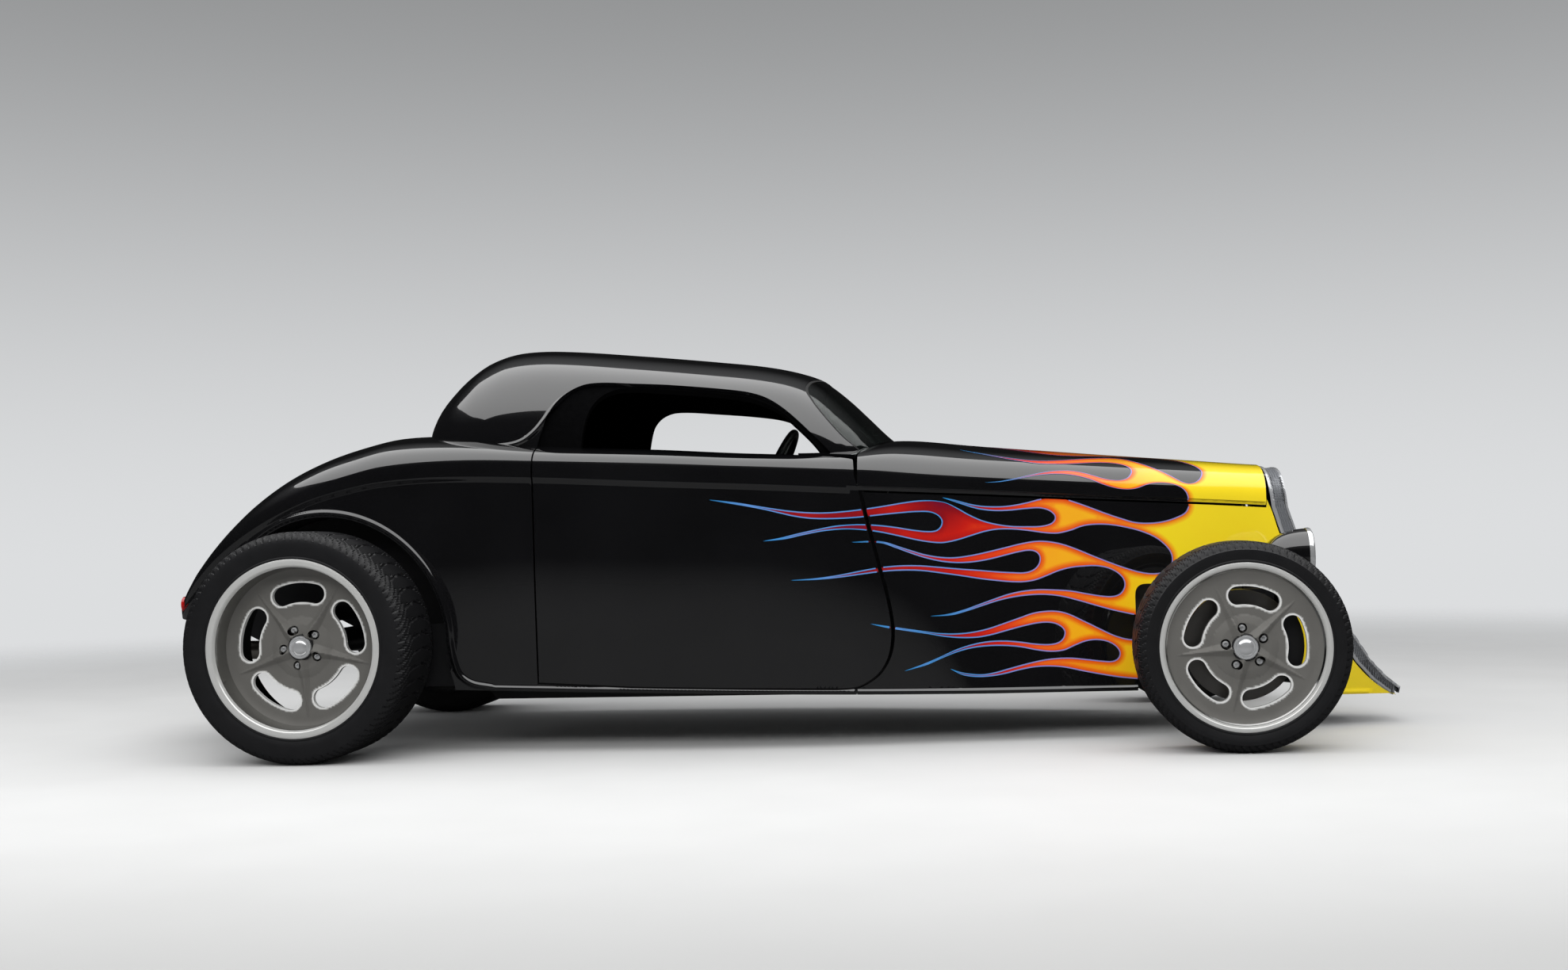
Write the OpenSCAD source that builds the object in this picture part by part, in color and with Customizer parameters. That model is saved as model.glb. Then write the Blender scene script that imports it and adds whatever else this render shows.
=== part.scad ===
// A chopped three-window hot rod coupe on tall rear and low front wheels.
// X runs forwards, Y to the car's left, Z up. The origin is on the ground, under the middle of the car.
// The body is one closed loft, given by a table of cross-sections. Every outer panel is the part of a
// hollow copy of that loft which lies inside the panel's own outline, seen from the side or from above.

/* [Stance] */
// Distance between the front and rear axles
wheelbase = 2845; // [2600:5:3000]
// Place of the rear axle, along the car
rear_axle_x = -1392; // [-1420:1:-1370]
// Outer face of a rear tyre, from the centre plane
rear_outer_y = 928; // [900:1:950]
// Outer face of a front tyre, from the centre plane
front_outer_y = 876; // [850:1:900]

/* [Wheels] */
// Radius of a rear tyre
rear_tyre_r = 357; // [345:1:370]
// Width of a rear tyre
rear_tyre_w = 300; // [270:1:310]
// Radius of a front tyre
front_tyre_r = 310; // [300:1:320]
// Width of a front tyre
front_tyre_w = 236; // [215:1:245]
// Flange radius of a 20 inch rear rim
rear_rim_r = 272; // [268:1:275]
// Flange radius of an 18 inch front rim
front_rim_r = 246; // [242:1:250]
// Depth of the rear wheel's centre behind its outer lip
rear_dish = 92; // [60:1:110]
// Depth of the front wheel's centre behind its outer lip
front_dish = 26; // [15:1:40]

/* [Panels] */
// Thickness of the moulded skins
skin_t = 12; // [8:1:16]
// Thickness of a whole door
door_t = 62; // [50:1:70]
// Gap round the lids
lid_gap = 6; // [5:1:8]
// Gap in front of a door, where its edge swings forwards
door_front_gap = 11; // [8:1:14]
// Radius of the rear wheel opening
arch_r = 402; // [395:1:410]

/* [Hidden] */
$fn = 64;

front_axle_x = rear_axle_x + wheelbase;
axle_y_front = front_outer_y - front_tyre_w / 2; // middle of a front tyre
kingpin_y = axle_y_front - 62;
disc_front_r = 165;
far = 3000; // longer than anything that it cuts

// ---- The body's cross-sections, from the tail to the nose -------------------------------------
// x: place of the section          top_z: height at the middle
// belt_y, belt_z: the belt line    sill_y, sill_z: the lower edge    square: how square the shoulder is
SX = 0; TOP_Z = 1; BELT_Y = 2; BELT_Z = 3; SILL_Y = 4; SILL_Z = 5; SQUARE = 6;
BODY = [
    [-2063,  447, 110, 445, 108, 436, 2.4],
    [-2045,  464, 245, 454, 242, 434, 2.4],
    [-2020,  482, 325, 466, 320, 432, 2.4],
    [-1985,  508, 390, 484, 384, 430, 2.4],
    [-1940,  552, 445, 516, 437, 428, 2.4],
    [-1880,  624, 492, 566, 482, 424, 2.4],
    [-1820,  696, 528, 616, 516, 412, 2.4],
    [-1750,  772, 560, 666, 546, 385, 2.4],
    [-1660,  848, 592, 720, 576, 335, 2.5],
    [-1550,  916, 622, 774, 604, 268, 2.6],
    [-1430,  966, 645, 820, 625, 225, 2.7],
    [-1310, 1000, 660, 850, 640, 212, 2.8],
    [-1190, 1020, 672, 870, 648, 207, 3.0],
    [-1000, 1014, 682, 880, 655, 203, 3.4],
    [ -700,  975, 690, 871, 660, 194, 4.5],
    [ -300,  950, 685, 848, 658, 182, 5.0],
    [    0,  932, 665, 832, 640, 173, 5.0],
    [  280,  938, 622, 815, 605, 165, 4.0],
    [  440,  966, 578, 806, 570, 160, 3.0],
    [  700,  942, 505, 792, 520, 154, 2.8],
    [ 1100,  904, 398, 768, 432, 148, 2.8],
    [ 1400,  877, 318, 751, 345, 140, 2.8],
    [ 1640,  856, 246, 735, 262, 118, 2.8],
    [ 1800,  850, 210, 722, 196, 105, 2.8],
    [ 1930,  845, 185, 712, 138, 100, 2.8],
    [ 2063,  840, 160, 700,  88,  96, 2.8]
];

// ---- The cab's cross-sections ----------------------------------------------------------------
// x, top_z: height at the middle    half_w: half width at the foot    foot_z: height of the foot
CAB_TOP_Z = 1; CAB_W = 2; CAB_FOOT_Z = 3; CAB_SQUARE = 4;
CAB = [
    [-1146, 1030, 180, 1022, 2.2],
    [-1137, 1062, 290, 1000, 2.3],
    [-1112, 1108, 392,  975, 2.4],
    [-1080, 1160, 456,  960, 2.5],
    [-1038, 1210, 500,  950, 2.5],
    [ -990, 1254, 534,  945, 2.5],
    [ -926, 1292, 560,  940, 2.6],
    [ -836, 1315, 582,  933, 2.7],
    [ -697, 1315, 596,  928, 2.8],
    [ -421, 1289, 604,  918, 2.8],
    [ -148, 1258, 602,  905, 2.8],
    [    0, 1238, 596,  895, 2.8],
    [  110, 1213, 582,  890, 2.8],
    [  190, 1182, 560,  886, 2.7],
    [  262, 1126, 532,  884, 2.6],
    [  330, 1060, 488,  886, 2.5],
    [  392,  998, 400,  896, 2.4],
    [  434,  964, 262,  905, 2.3],
    [  452,  954, 100,  915, 2.2]
];

// ---- Smooth curves through a table ------------------------------------------------------------
function step_of(t, x, i = 0) = (i >= len(t) - 2 || x < t[i + 1][0]) ? i : step_of(t, x, i + 1);
function slope_at(t, i, c) =
    let (a = max(i - 1, 0), b = min(i + 1, len(t) - 1)) (t[b][c] - t[a][c]) / (t[b][0] - t[a][0]);
function curve(t, x, c) =
    let (
        i = step_of(t, x), h = t[i + 1][0] - t[i][0], u = (x - t[i][0]) / h,
        a = t[i][c], b = t[i + 1][c], ma = slope_at(t, i, c) * h, mb = slope_at(t, i + 1, c) * h
    )
    a * (1 + 2 * u) * (1 - u) * (1 - u) + ma * u * (1 - u) * (1 - u)
    + b * u * u * (3 - 2 * u) + mb * u * u * (u - 1);

// Half of a body section, from the middle of its top down to its lower edge
SHOULDER_STEPS = 9;
SIDE_STEPS = 3;
function side_y(x, z, inset = 0) =
    let (
        zb = curve(BODY, x, BELT_Z), zs = curve(BODY, x, SILL_Z),
        u = (zb - z) / max(zb - zs, 1), yb = curve(BODY, x, BELT_Y), ys = curve(BODY, x, SILL_Y)
    )
    yb + (ys - yb) * u * u * (u > 0 ? 1 : 0) - inset;
function half_section(x, inset, drop) =
    let (
        zt = curve(BODY, x, TOP_Z) - inset, yb = curve(BODY, x, BELT_Y) - inset,
        zb = min(curve(BODY, x, BELT_Z), zt - 2), zs = curve(BODY, x, SILL_Z) - drop,
        n = curve(BODY, x, SQUARE)
    )
    concat(
        [for (k = [0:SHOULDER_STEPS]) let (a = 90 * k / SHOULDER_STEPS)
            [x, yb * pow(sin(a), 2 / n), zb + (zt - zb) * pow(cos(a), 2 / n)]],
        [for (k = [1:SIDE_STEPS]) let (z = zb + (min(zs, zb - 1) - zb) * k / SIDE_STEPS)
            [x, side_y(x, max(z, curve(BODY, x, SILL_Z)), inset), z]]
    );

// Half of a cab section
CAB_STEPS = 12;
function cab_half(x, inset, drop) =
    let (
        zf = curve(CAB, x, CAB_FOOT_Z) - drop, zt = max(curve(CAB, x, CAB_TOP_Z) - inset, zf + drop + 2),
        w = curve(CAB, x, CAB_W) - inset, n = curve(CAB, x, CAB_SQUARE)
    )
    concat(
        [for (k = [0:CAB_STEPS]) let (a = 90 * k / CAB_STEPS)
            [x, w * pow(sin(a), 2 / n), zf + drop + (zt - zf - drop) * pow(cos(a), 2 / n)]],
        drop > 0 ? [[x, w, zf]] : []
    );

// A closed loft through mirrored half sections
module loft(halves) {
    m = len(halves[0]);
    ring = 2 * m - 1;
    points = [for (h = halves) each concat(
        [for (k = [m - 1:-1:1]) [h[k][0], -h[k][1], h[k][2]]],
        [for (k = [0:m - 1]) h[k]]
    )];
    last = (len(halves) - 1) * ring;
    faces = concat(
        [for (s = [0:len(halves) - 2]) for (k = [0:ring - 1])
            let (a = s * ring + k, b = s * ring + (k + 1) % ring)
                each [[a, b, b + ring], [a, b + ring, a + ring]]],
        [[for (k = [ring - 1:-1:0]) k]],
        [[for (k = [0:ring - 1]) last + k]]
    );
    polyhedron(points = points, faces = faces);
}

// Sections closer together where the tail and the cab's ends are steep
BODY_X = [
    -2063, -2056, -2045, -2032, -2020, -2003, -1985, -1962, -1940, -1910, -1880, -1850, -1820, -1785,
    -1750, -1705, -1660, -1605, -1550, -1490, -1430, -1370, -1310, -1250, -1190, -1100, -1000, -850,
    -700, -500, -300, -100, 80, 240, 340, 440, 560, 700, 900, 1100, 1250, 1400, 1520, 1640, 1720, 1800,
    1930, 2063
];
module body_solid(inset = 0, drop = 0, from_x = -2063) {
    loft([for (x = BODY_X) if (x >= from_x) half_section(x, inset, drop)]);
}
CAB_X = [-1146, -1142, -1137, -1126, -1112, -1096, -1080, -1038, -990, -926, -836, -697, -560, -421, -280, -148,
    -60, 30, 110, 150, 190, 226, 262, 296, 330, 361, 392, 415, 434, 452];
module cab_solid(inset = 0, drop = 0, from_x = -1146, to_x = 452) {
    loft([for (x = CAB_X) if (x >= from_x && x <= to_x) cab_half(x, inset, drop)]);
}

// Evaluates its children as one mesh, because they are faceted shells cut by long prisms
module as_mesh() { resize([0, 0, 0]) children(); }
module body_skin(t = skin_t) {
    difference() {
        body_solid();
        body_solid(inset = t, drop = 60, from_x = -2020);
    }
}
module cab_skin(t = skin_t) {
    difference() {
        cab_solid();
        cab_solid(inset = t, drop = 60, from_x = -1120, to_x = 410);
    }
}

// An outline in the side view, as a prism over the whole width, or over one side (-1 right, 1 left)
module side_prism(points, side = 0) {
    translate([0, side < 0 ? -0.5 : side > 0 ? far : far, 0]) rotate([90, 0, 0])
        linear_extrude(height = side == 0 ? 2 * far : far - 0.5) polygon(points);
}
module on_both_sides() {
    children();
    mirror([0, 1, 0]) children();
}
module along_y(x, z, y0, y1) {
    translate([x, y0, z]) rotate([-90, 0, 0]) linear_extrude(height = y1 - y0) children();
}
function arc(cx, cz, r, a0, a1, n = 10) =
    [for (k = [0:n]) let (a = n == 0 ? a0 : a0 + (a1 - a0) * k / n) [cx + r * cos(a), cz + r * sin(a)]];

// ---- Panel outlines in the side view ----------------------------------------------------------
// The door: straight at its hinges, rounded where it follows the cowl. grow widens it, for its opening.
function door_outline(grow = 0, front = 0) = [
    [-690 - grow, 1100], [-694 - grow, 222 - grow], [-400, 205 - grow], [0, 192 - grow], [268, 184 - grow],
    [318 + front * 0.4, 194 - grow], [366 + front * 0.7, 226 - grow * 0.7], [396 + front * 0.9, 270],
    [409 + front, 320], [411 + front, 378], [398 + front, 464], [366 + front, 599], [340 + front, 710],
    [324 + front, 784], [306 + front, 850], [284 + front, 1100]
];
// The split between the top of the hood and its sides, a little under the belt line
function hood_split(x) = curve(BODY, x, BELT_Z) - 14;
HOOD_X1 = 1622; // front edge of the hood
HOOD_BACK = [[318, 700], [318, 580], [330, 512], [350, 462], [378, 410], [406, 345], [428, 250], [440, 120],
    [443, 0]];
module hood_plan(grow = 0) {
    translate([0, 0, 600]) linear_extrude(height = far) polygon(concat(
        [[HOOD_X1 - 4 + grow, -700]],
        [for (k = [0:len(HOOD_BACK) - 1]) [HOOD_BACK[k][0] - grow, -HOOD_BACK[k][1]]],
        [for (k = [len(HOOD_BACK) - 2:-1:0]) [HOOD_BACK[k][0] - grow, HOOD_BACK[k][1]]],
        [[HOOD_X1 - 4 + grow, 700]]
    ));
}
// The line along which the body ends and the grille's surround begins
NOSE_BACK = [[1618, 900], [1624, 800], [1634, 719], [1664, 628], [1706, 540], [1762, 432], [1836, 310],
    [1905, 207], [1958, 150], [2008, 112], [2050, 80]];

// ---- Body panels ------------------------------------------------------------------------------
// Wheel openings in the tail: a circle round the wheel, open below, up to the tail's lower edge
module arch_prism(r) {
    translate([rear_axle_x, far, rear_tyre_r]) rotate([90, 0, 0]) cylinder(r = r, h = 2 * far, $fn = 72);
    side_prism(concat(
        [[rear_axle_x - r * 0.66, rear_tyre_r + r * 0.751], [-1960, 429], [-2063, 415], [-2063, 0]],
        [[-966, 0], [-966, 200], [-978, 255], [-992, 310], [rear_axle_x, 310]]
    ));
}
module wheel_tub(y0, y1) {
    intersection() {
        difference() {
            along_y(rear_axle_x, rear_tyre_r, y0, y1) circle(r = arch_r + 12, $fn = 72);
            along_y(rear_axle_x, rear_tyre_r, y0 + 12, y1 + 1) circle(r = arch_r, $fn = 72);
            // the notch that the axle moves in
            translate([rear_axle_x - 80, y0 - 1, 0]) cube([160, y1 - y0, rear_tyre_r + 110]);
        }
        body_solid(inset = skin_t + 2);
        translate([-far, -far, 330]) cube([2 * far, 2 * far, far]);
    }
}
function deck_outline(grow = 0) = [
    [-1236 + grow, 0], [-1236 + grow, 330], [-1262, 384 + grow], [-1310, 398 + grow], [-1600, 392 + grow],
    [-1850, 360 + grow], [-1930, 330 + grow], [-1966 - grow, 270 + grow * 0.6], [-1976 - grow, 0]
];
module deck_prism(grow = 0) {
    on_both_sides() linear_extrude(height = far) polygon(deck_outline(grow));
}
// The cockpit: the hole in the top of the body, under the hardtop
module cockpit_prism() {
    translate([0, 0, 500]) linear_extrude(height = far) polygon([
        [-1010, -300], [-960, -440], [-860, -520], [-700, -575], [-300, -585], [60, -570], [300, -520], [330, -480],
        [330, 480], [300, 520], [60, 570], [-300, 585], [-700, 575], [-860, 520], [-960, 440], [-1010, 300]
    ]);
}
module rear_body() {
    color("black") as_mesh() {
        difference() {
            body_skin();
            arch_prism(arch_r);
            side_prism(door_outline(grow = 5, front = door_front_gap));
            deck_prism(lid_gap);
            cockpit_prism();
            hood_plan(lid_gap);
            side_prism(concat([[290, 60], [290, hood_split(290)], [480, hood_split(480)], [480, 60]]));
            translate([480, -far, 0]) cube([far, 2 * far, far]);
        }
    }
}
module wheel_tubs() {
    color("dimgray") as_mesh() on_both_sides() wheel_tub(430, 645);
}
module side_panel() {
    color("black") as_mesh() difference() {
        intersection() {
            body_skin();
            side_prism(concat(
                [[294, 150], [294, 60], [2063, 60]],
                [for (k = [len(NOSE_BACK) - 1:-1:1]) NOSE_BACK[k]],
                [[1622, hood_split(1622) - 3]],
                [for (x = [1500:-150:450]) [x, hood_split(x) - 3]],
                [[294, hood_split(294) - 3]]
            ), -1);
        }
        side_prism(door_outline(grow = 5, front = door_front_gap));
        // the opening for the front suspension
        side_prism([
            [1182, 0], [1182, 452], [1190, 475], [1212, 484], [1640, 484], [1672, 474], [1686, 450], [1700, 0]
        ]);
    }
}
module door() {
    color("black") as_mesh() intersection() {
        union() {
            intersection() {
                body_skin(8);
                side_prism(door_outline(), -1);
            }
            intersection() {
                body_skin(door_t);
                side_prism([
                    [-688, 1100], [-690, 240], [0, 214], [250, 208], [330, 240], [374, 300], [378, 378], [362, 464],
                    [330, 599], [304, 710], [288, 784], [270, 850], [250, 1100]
                ], -1);
            }
        }
        // the top edge, where a door is narrower than its own thickness
        translate([-far, -far, 0]) cube([2 * far, far - 588, far]);
    }
}
module hood_top() {
    color("black") as_mesh() intersection() {
        difference() {
            body_skin(10);
            side_prism(door_outline(grow = 5, front = door_front_gap));
        }
        hood_plan();
        side_prism(concat(
            [[HOOD_X1, 1200], [HOOD_X1, hood_split(HOOD_X1) + 3]],
            [for (x = [1500:-150:450]) [x, hood_split(x) + 3]],
            [[300, hood_split(300) + 3], [300, 1200]]
        ));
    }
}
module deck_lid() {
    color("black") as_mesh() intersection() {
        body_skin(10);
        deck_prism(0);
        translate([-far, -far, 445]) cube([2 * far, 2 * far, far]);
    }
}

// ---- The hardtop and its glass ----------------------------------------------------------------
SIDE_WINDOW = [[-712, 900], [-705, 947], [-685, 1015], [-658, 1077], [-618, 1130], [-565, 1162], [-508, 1170],
    [-271, 1155], [-68, 1132], [0, 1117], [50, 1094], [106, 1052], [180, 980], [262, 896]];
INNER_WINDOW = [[-566, 880], [-560, 960], [-548, 1040], [-528, 1098], [-490, 1140], [-430, 1160], [-271, 1150],
    [-90, 1130], [-10, 1112], [50, 1076], [100, 1010], [124, 946], [140, 880]];
SCREEN_SIDE = [[332, 850], [332, 906], [262, 980], [190, 1066], [147, 1126], [141, 1146], [152, 1160],
    [200, 1184], [420, 1184], [520, 960], [520, 850]];
HARDTOP_T = 38; // thickness of its side walls
function shifted(p, dx, dz = 0) = [for (q = p) [q[0] + dx, q[1] + dz]];
module rear_window_prism(grow = 0) {
    translate([-1300, 0, 1178]) rotate([90, 0, 90]) linear_extrude(height = 420)
        offset(r = 26 + grow) square([500, 66], center = true);
}
// Nothing of the cab reaches below the body's own top
module above_body(lift = 1.5) {
    difference() {
        children();
        body_solid(inset = -lift);
    }
}
module hardtop() {
    color("black") as_mesh() above_body() difference() {
        cab_skin(HARDTOP_T);
        side_prism(INNER_WINDOW);
        difference() {
            side_prism(SIDE_WINDOW);
            cab_solid(inset = 14, drop = 60, from_x = -1120, to_x = 410);
        }
        side_prism(SCREEN_SIDE);
        rear_window_prism();
        translate([300, -far, 0]) cube([far, 2 * far, 1060]);
    }
}
module windshield() {
    color("lightblue") as_mesh() above_body() intersection() {
        cab_skin(6);
        side_prism(shifted(SCREEN_SIDE, 4));
        translate([-far, -far, 0]) cube([far + 446, 2 * far, far]);
    }
}
module rear_window() {
    color("lightblue") as_mesh() intersection() {
        cab_skin(6);
        rear_window_prism(-3);
    }
}

// ---- Nose -------------------------------------------------------------------------------------
module nose_band(back_shift, front_shift) {
    side_prism(concat(
        [for (k = [0:len(NOSE_BACK) - 1]) [NOSE_BACK[k][0] + back_shift, NOSE_BACK[k][1]]],
        [for (k = [len(NOSE_BACK) - 1:-1:0]) [min(NOSE_BACK[k][0] + front_shift, 2063), NOSE_BACK[k][1]]]
    ));
}
// The bright surround, standing on the body's front edge
module grille_shell() {
    color("silver") as_mesh() difference() {
        intersection() {
            body_solid();
            nose_band(3, 46);
        }
        intersection() {
            body_solid(inset = 26);
            side_prism([[1500, 140], [2030, 140], [2030, 836], [1500, 836]]);
        }
        // it ends above the floor of the nose
        translate([0, -far, 0]) cube([1990, 2 * far, 98]);
    }
}
// The bars stand in a thin band behind the surround's front edge
module grille_bars() {
    color("gray") as_mesh() intersection() {
        body_solid(inset = 27);
        nose_band(14, 24);
        side_prism([[1500, 142], [2028, 142], [2028, 834], [1500, 834]]);
    }
}
HEADLIGHT = [1712, 432, 565]; // middle of a headlamp's front rim
module headlights() {
    color("black") on_both_sides() {
        translate([HEADLIGHT[0], -HEADLIGHT[1], HEADLIGHT[2]]) rotate([0, -90, 0]) rotate_extrude()
            polygon([[0, -6], [56, -4], [84, 4], [86, 14], [84, 28], [79, 60], [64, 100], [42, 130], [0, 146]]);
        // the stalk that carries it from the frame
        translate([HEADLIGHT[0] - 70, -HEADLIGHT[1] + 60, HEADLIGHT[2]]) rotate([-90, 0, 0])
            cylinder(r = 16, h = HEADLIGHT[1] - 60 - side_y(HEADLIGHT[0] - 70, HEADLIGHT[2]) - 8);
    }
}
TAIL_LIGHT_Y = 372;
TAIL_LIGHT_Z = 480;
TAIL_LIGHT_R = 26;
TAIL_LIGHT_DEEP = 26;
module tail_lights() {
    // round lamps let into the tail, their lenses facing back
    color("red") as_mesh() on_both_sides() difference() {
        translate([-1962, -TAIL_LIGHT_Y, TAIL_LIGHT_Z]) rotate([0, -90, 0])
            cylinder(r = TAIL_LIGHT_R, h = TAIL_LIGHT_DEEP);
        body_solid(inset = -0.4);
    }
}
module plate_bracket() {
    color("dimgray") difference() {
        translate([-2056, -156, 330]) cube([4, 312, 92]);
        for (y = [-88.9, 88.9]) translate([-2060, y, 400]) rotate([0, 90, 0]) cylinder(r = 3.5, h = 20);
    }
    color("dimgray") translate([-2052, -30, 340]) cube([52, 60, 40]);
}

// ---- Chassis and running gear -----------------------------------------------------------------
RAIL_Y = 262;
RAIL_W = 52;
NOSE_RAIL_Y = 150; // inner face of the rails' front ends
RAIL_Z = 140; // flat underside, where a jack lifts
module rail() {
    // dropped centre, kick-up over the axle, tail part
    side_prism_at([[960, RAIL_Z + 12], [960, 225], [-900, 225], [-1110, 490], [-1690, 500], [-1960, 440],
        [-1960, 394], [-1690, 446], [-1150, 436], [-930, RAIL_Z], [900, RAIL_Z]], RAIL_Y, RAIL_W);
    // the front ends, set in for the nose
    side_prism_at([[1690, 165], [1690, 225], [1300, 240], [880, 225], [880, RAIL_Z + 12], [1300, 160]],
        NOSE_RAIL_Y, RAIL_W);
}
module side_prism_at(points, y, w) {
    translate([0, y + w, 0]) rotate([90, 0, 0]) linear_extrude(height = w) polygon(points);
}
module chassis_frame() {
    color("dimgray") {
        on_both_sides() rail();
        translate([880, -RAIL_Y - 2, RAIL_Z + 12]) cube([70, 2 * RAIL_Y + 4, 60]);
        for (c = [[620, 146], [-300, 146], [-860, 150], [-1880, 430]])
            translate([c[0], -RAIL_Y - 2, c[1]]) cube([46, 2 * RAIL_Y + 4, 30]);
        for (c = [[1640, 175], [1100, 165]])
            translate([c[0], -NOSE_RAIL_Y - 2, c[1]]) cube([46, 2 * NOSE_RAIL_Y + 4, 40]);
    }
}
TUNNEL_W = 190; // width of the tunnel over the gearbox and shaft
module floor_pan() {
    color("dimgray") as_mesh() {
        intersection() {
            union() {
                translate([-868, -far, 236]) cube([1350, 2 * far, 8]);
                translate([474, -far, 238]) cube([8, 2 * far, far]);
                translate([-876, -far, 236]) cube([8, 2 * far, 600]);
                // the tunnel over the gearbox
                translate([-868, -TUNNEL_W / 2, 236]) cube([1345, TUNNEL_W, 164]);
            }
            difference() {
                body_solid(inset = door_t + 8);
                translate([-far, 6 - TUNNEL_W / 2, 0]) cube([far + 490, TUNNEL_W - 12, 392]);
                translate([452, -far, 720]) cube([far, 2 * far, far]);
            }
        }
        // scuttle: carries the dashboard under the windshield
        intersection() {
            translate([330, -far, 700]) cube([140, 2 * far, 8]);
            body_solid(inset = door_t + 8);
        }
    }
}
module engine_block() {
    color("silver") {
        translate([700, -225, 250]) cube([560, 450, 470]);
        translate([490, -118, 250]) cube([205, 236, 300]);
    }
}
module radiator() {
    color("dimgray") translate([1500, -180, 250]) cube([46, 360, 440]);
}
module exhaust_pipes() {
    color("silver") on_both_sides() translate([-1930, -180, 310]) rotate([0, 90, 0]) difference() {
        cylinder(r = 32, h = 420);
        translate([0, 0, -1]) cylinder(r = 29, h = 400);
    }
}
module fuel_tank() {
    color("gray") translate([-1820, -230, 400]) cube([250, 460, 105]);
}
module propeller_shaft() {
    color("dimgray") bar([rear_axle_x + 152, 0, 352], [488, 0, 306], 38);
}
module rear_axle() {
    color("dimgray") translate([rear_axle_x, 0, rear_tyre_r]) {
        rotate([90, 0, 0]) cylinder(r = 40, h = 2 * (rear_outer_y - rear_dish - 120), center = true);
        sphere(r = 138);
        translate([60, 0, 0]) rotate([0, 90, 0]) cylinder(r = 60, h = 90);
    }
}
// A round bar from one point to another
module bar(p, q, r) {
    d = q - p;
    translate(p) rotate([0, acos(d[2] / norm(d)), atan2(d[1], d[0])]) cylinder(r = r, h = norm(d));
}
// Two wishbones and a coil-over on each side
module wishbone(z) {
    for (x = [-1, 1])
        bar([front_axle_x + x * 140, -RAIL_Y - RAIL_W - 18, z], [front_axle_x + x * 9, -kingpin_y + 52, z], 14);
    translate([front_axle_x, -kingpin_y + 46, z - 16]) cylinder(r = 24, h = 32);
}
module front_suspension() {
    color("dimgray") {
        wishbone(190);
        wishbone(430);
        bar([front_axle_x, -430, 200], [front_axle_x, -350, 530], 26);
        translate([front_axle_x - 170, -RAIL_Y - RAIL_W - 26, 170]) cube([340, 22, 290]);
    }
}
module knuckle() {
    color("dimgray") {
        translate([front_axle_x, -kingpin_y, 168]) cylinder(r = 17, h = 282);
        translate([front_axle_x, -kingpin_y + 10, front_tyre_r]) rotate([90, 0, 0]) cylinder(r = 46, h = 36);
        translate([front_axle_x, -kingpin_y, front_tyre_r]) rotate([90, 0, 0])
            cylinder(r = 24, h = front_outer_y - front_dish - 44 - kingpin_y);
        // the caliper, behind the axle, and the steering arm
        translate([front_axle_x - 20, -kingpin_y + 6, front_tyre_r - 20]) cube([150, 16, 40]);
    }
}
module brake_disc_front() {
    color("silver") translate([front_axle_x, -kingpin_y - 40, front_tyre_r]) rotate([90, 0, 0]) difference() {
        cylinder(r = disc_front_r, h = 22);
        translate([0, 0, -1]) cylinder(r = 25, h = 40);
    }
}

// ---- Wheels: turned about the axle, with the outer side at -Y ---------------------------------
module wheel(rim_r, rim_w, dish, bore_r) {
    well_r = rim_r - 34;
    rotate([90, 0, 0]) difference() {
        rotate_extrude($fn = 96) polygon([
            [bore_r, -dish - 44], [bore_r, -dish - 2], [70, -dish - 4], [well_r - 14, -dish + 4], [well_r, -dish + 10],
            [well_r + 3, -10], [rim_r - 20, -6], [rim_r - 10, 2], [rim_r, 0], [rim_r, -12], [rim_r - 16, -20],
            [rim_r - 16, -rim_w + 32], [rim_r - 2, -rim_w + 24], [rim_r - 2, -rim_w + 8], [rim_r - 24, -rim_w + 16],
            [rim_r - 24, -dish - 34], [well_r - 14, -dish - 18], [80, -dish - 28], [76, -dish - 44]
        ]);
        for (k = [0:4]) rotate([0, 0, 90 + 72 * k]) wheel_slot(rim_r * 0.515, rim_r * 0.73, dish);
    }
}
module wheel_slot(inner_r, outer_r, dish) {
    translate([0, 0, -dish - 60]) linear_extrude(height = 90) polygon(concat(
        arc(0, 0, outer_r, -22, 22, 8),
        arc(0, 0, outer_r - 14, 26, 26, 0),
        arc(0, 0, inner_r + 12, 26, 26, 0),
        arc(0, 0, inner_r, 20, -20, 6),
        arc(0, 0, inner_r + 12, -26, -26, 0),
        arc(0, 0, outer_r - 14, -26, -26, 0)
    ));
}
module tyre(tyre_r, rim_r, tyre_w) {
    rotate([90, 0, 0]) rotate_extrude() polygon([
        [rim_r - 15, -tyre_w + 38], [rim_r - 1, -tyre_w + 30], [rim_r - 1, -tyre_w + 8],
        [rim_r + 8, -tyre_w + 2], [rim_r + (tyre_r - rim_r) * 0.45, -tyre_w],
        [tyre_r - 18, -tyre_w + 12], [tyre_r - 4, -tyre_w + 36], [tyre_r, -tyre_w + 60], [tyre_r, -60],
        [tyre_r - 4, -36], [tyre_r - 18, -12], [rim_r + (tyre_r - rim_r) * 0.45, 0], [rim_r + 8, -2],
        [rim_r + 1, -6], [rim_r + 1, -17], [rim_r - 15, -26]
    ]);
}
module front_wheel_place() { translate([front_axle_x, -front_outer_y, front_tyre_r]) children(); }
module rear_wheel_place() { translate([rear_axle_x, -rear_outer_y, rear_tyre_r]) children(); }
module wheel_front() {
    color("silver") front_wheel_place() translate([0, 4, 0]) wheel(front_rim_r, front_tyre_w - 8, front_dish, 25);
}
module tyre_front() { color("black") front_wheel_place() tyre(front_tyre_r, front_rim_r, front_tyre_w); }
module wheel_rear() {
    color("silver") rear_wheel_place() translate([0, 4, 0]) wheel(rear_rim_r, rear_tyre_w - 8, rear_dish, 41);
}
module tyre_rear() { color("black") rear_wheel_place() tyre(rear_tyre_r, rear_rim_r, rear_tyre_w); }

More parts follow.
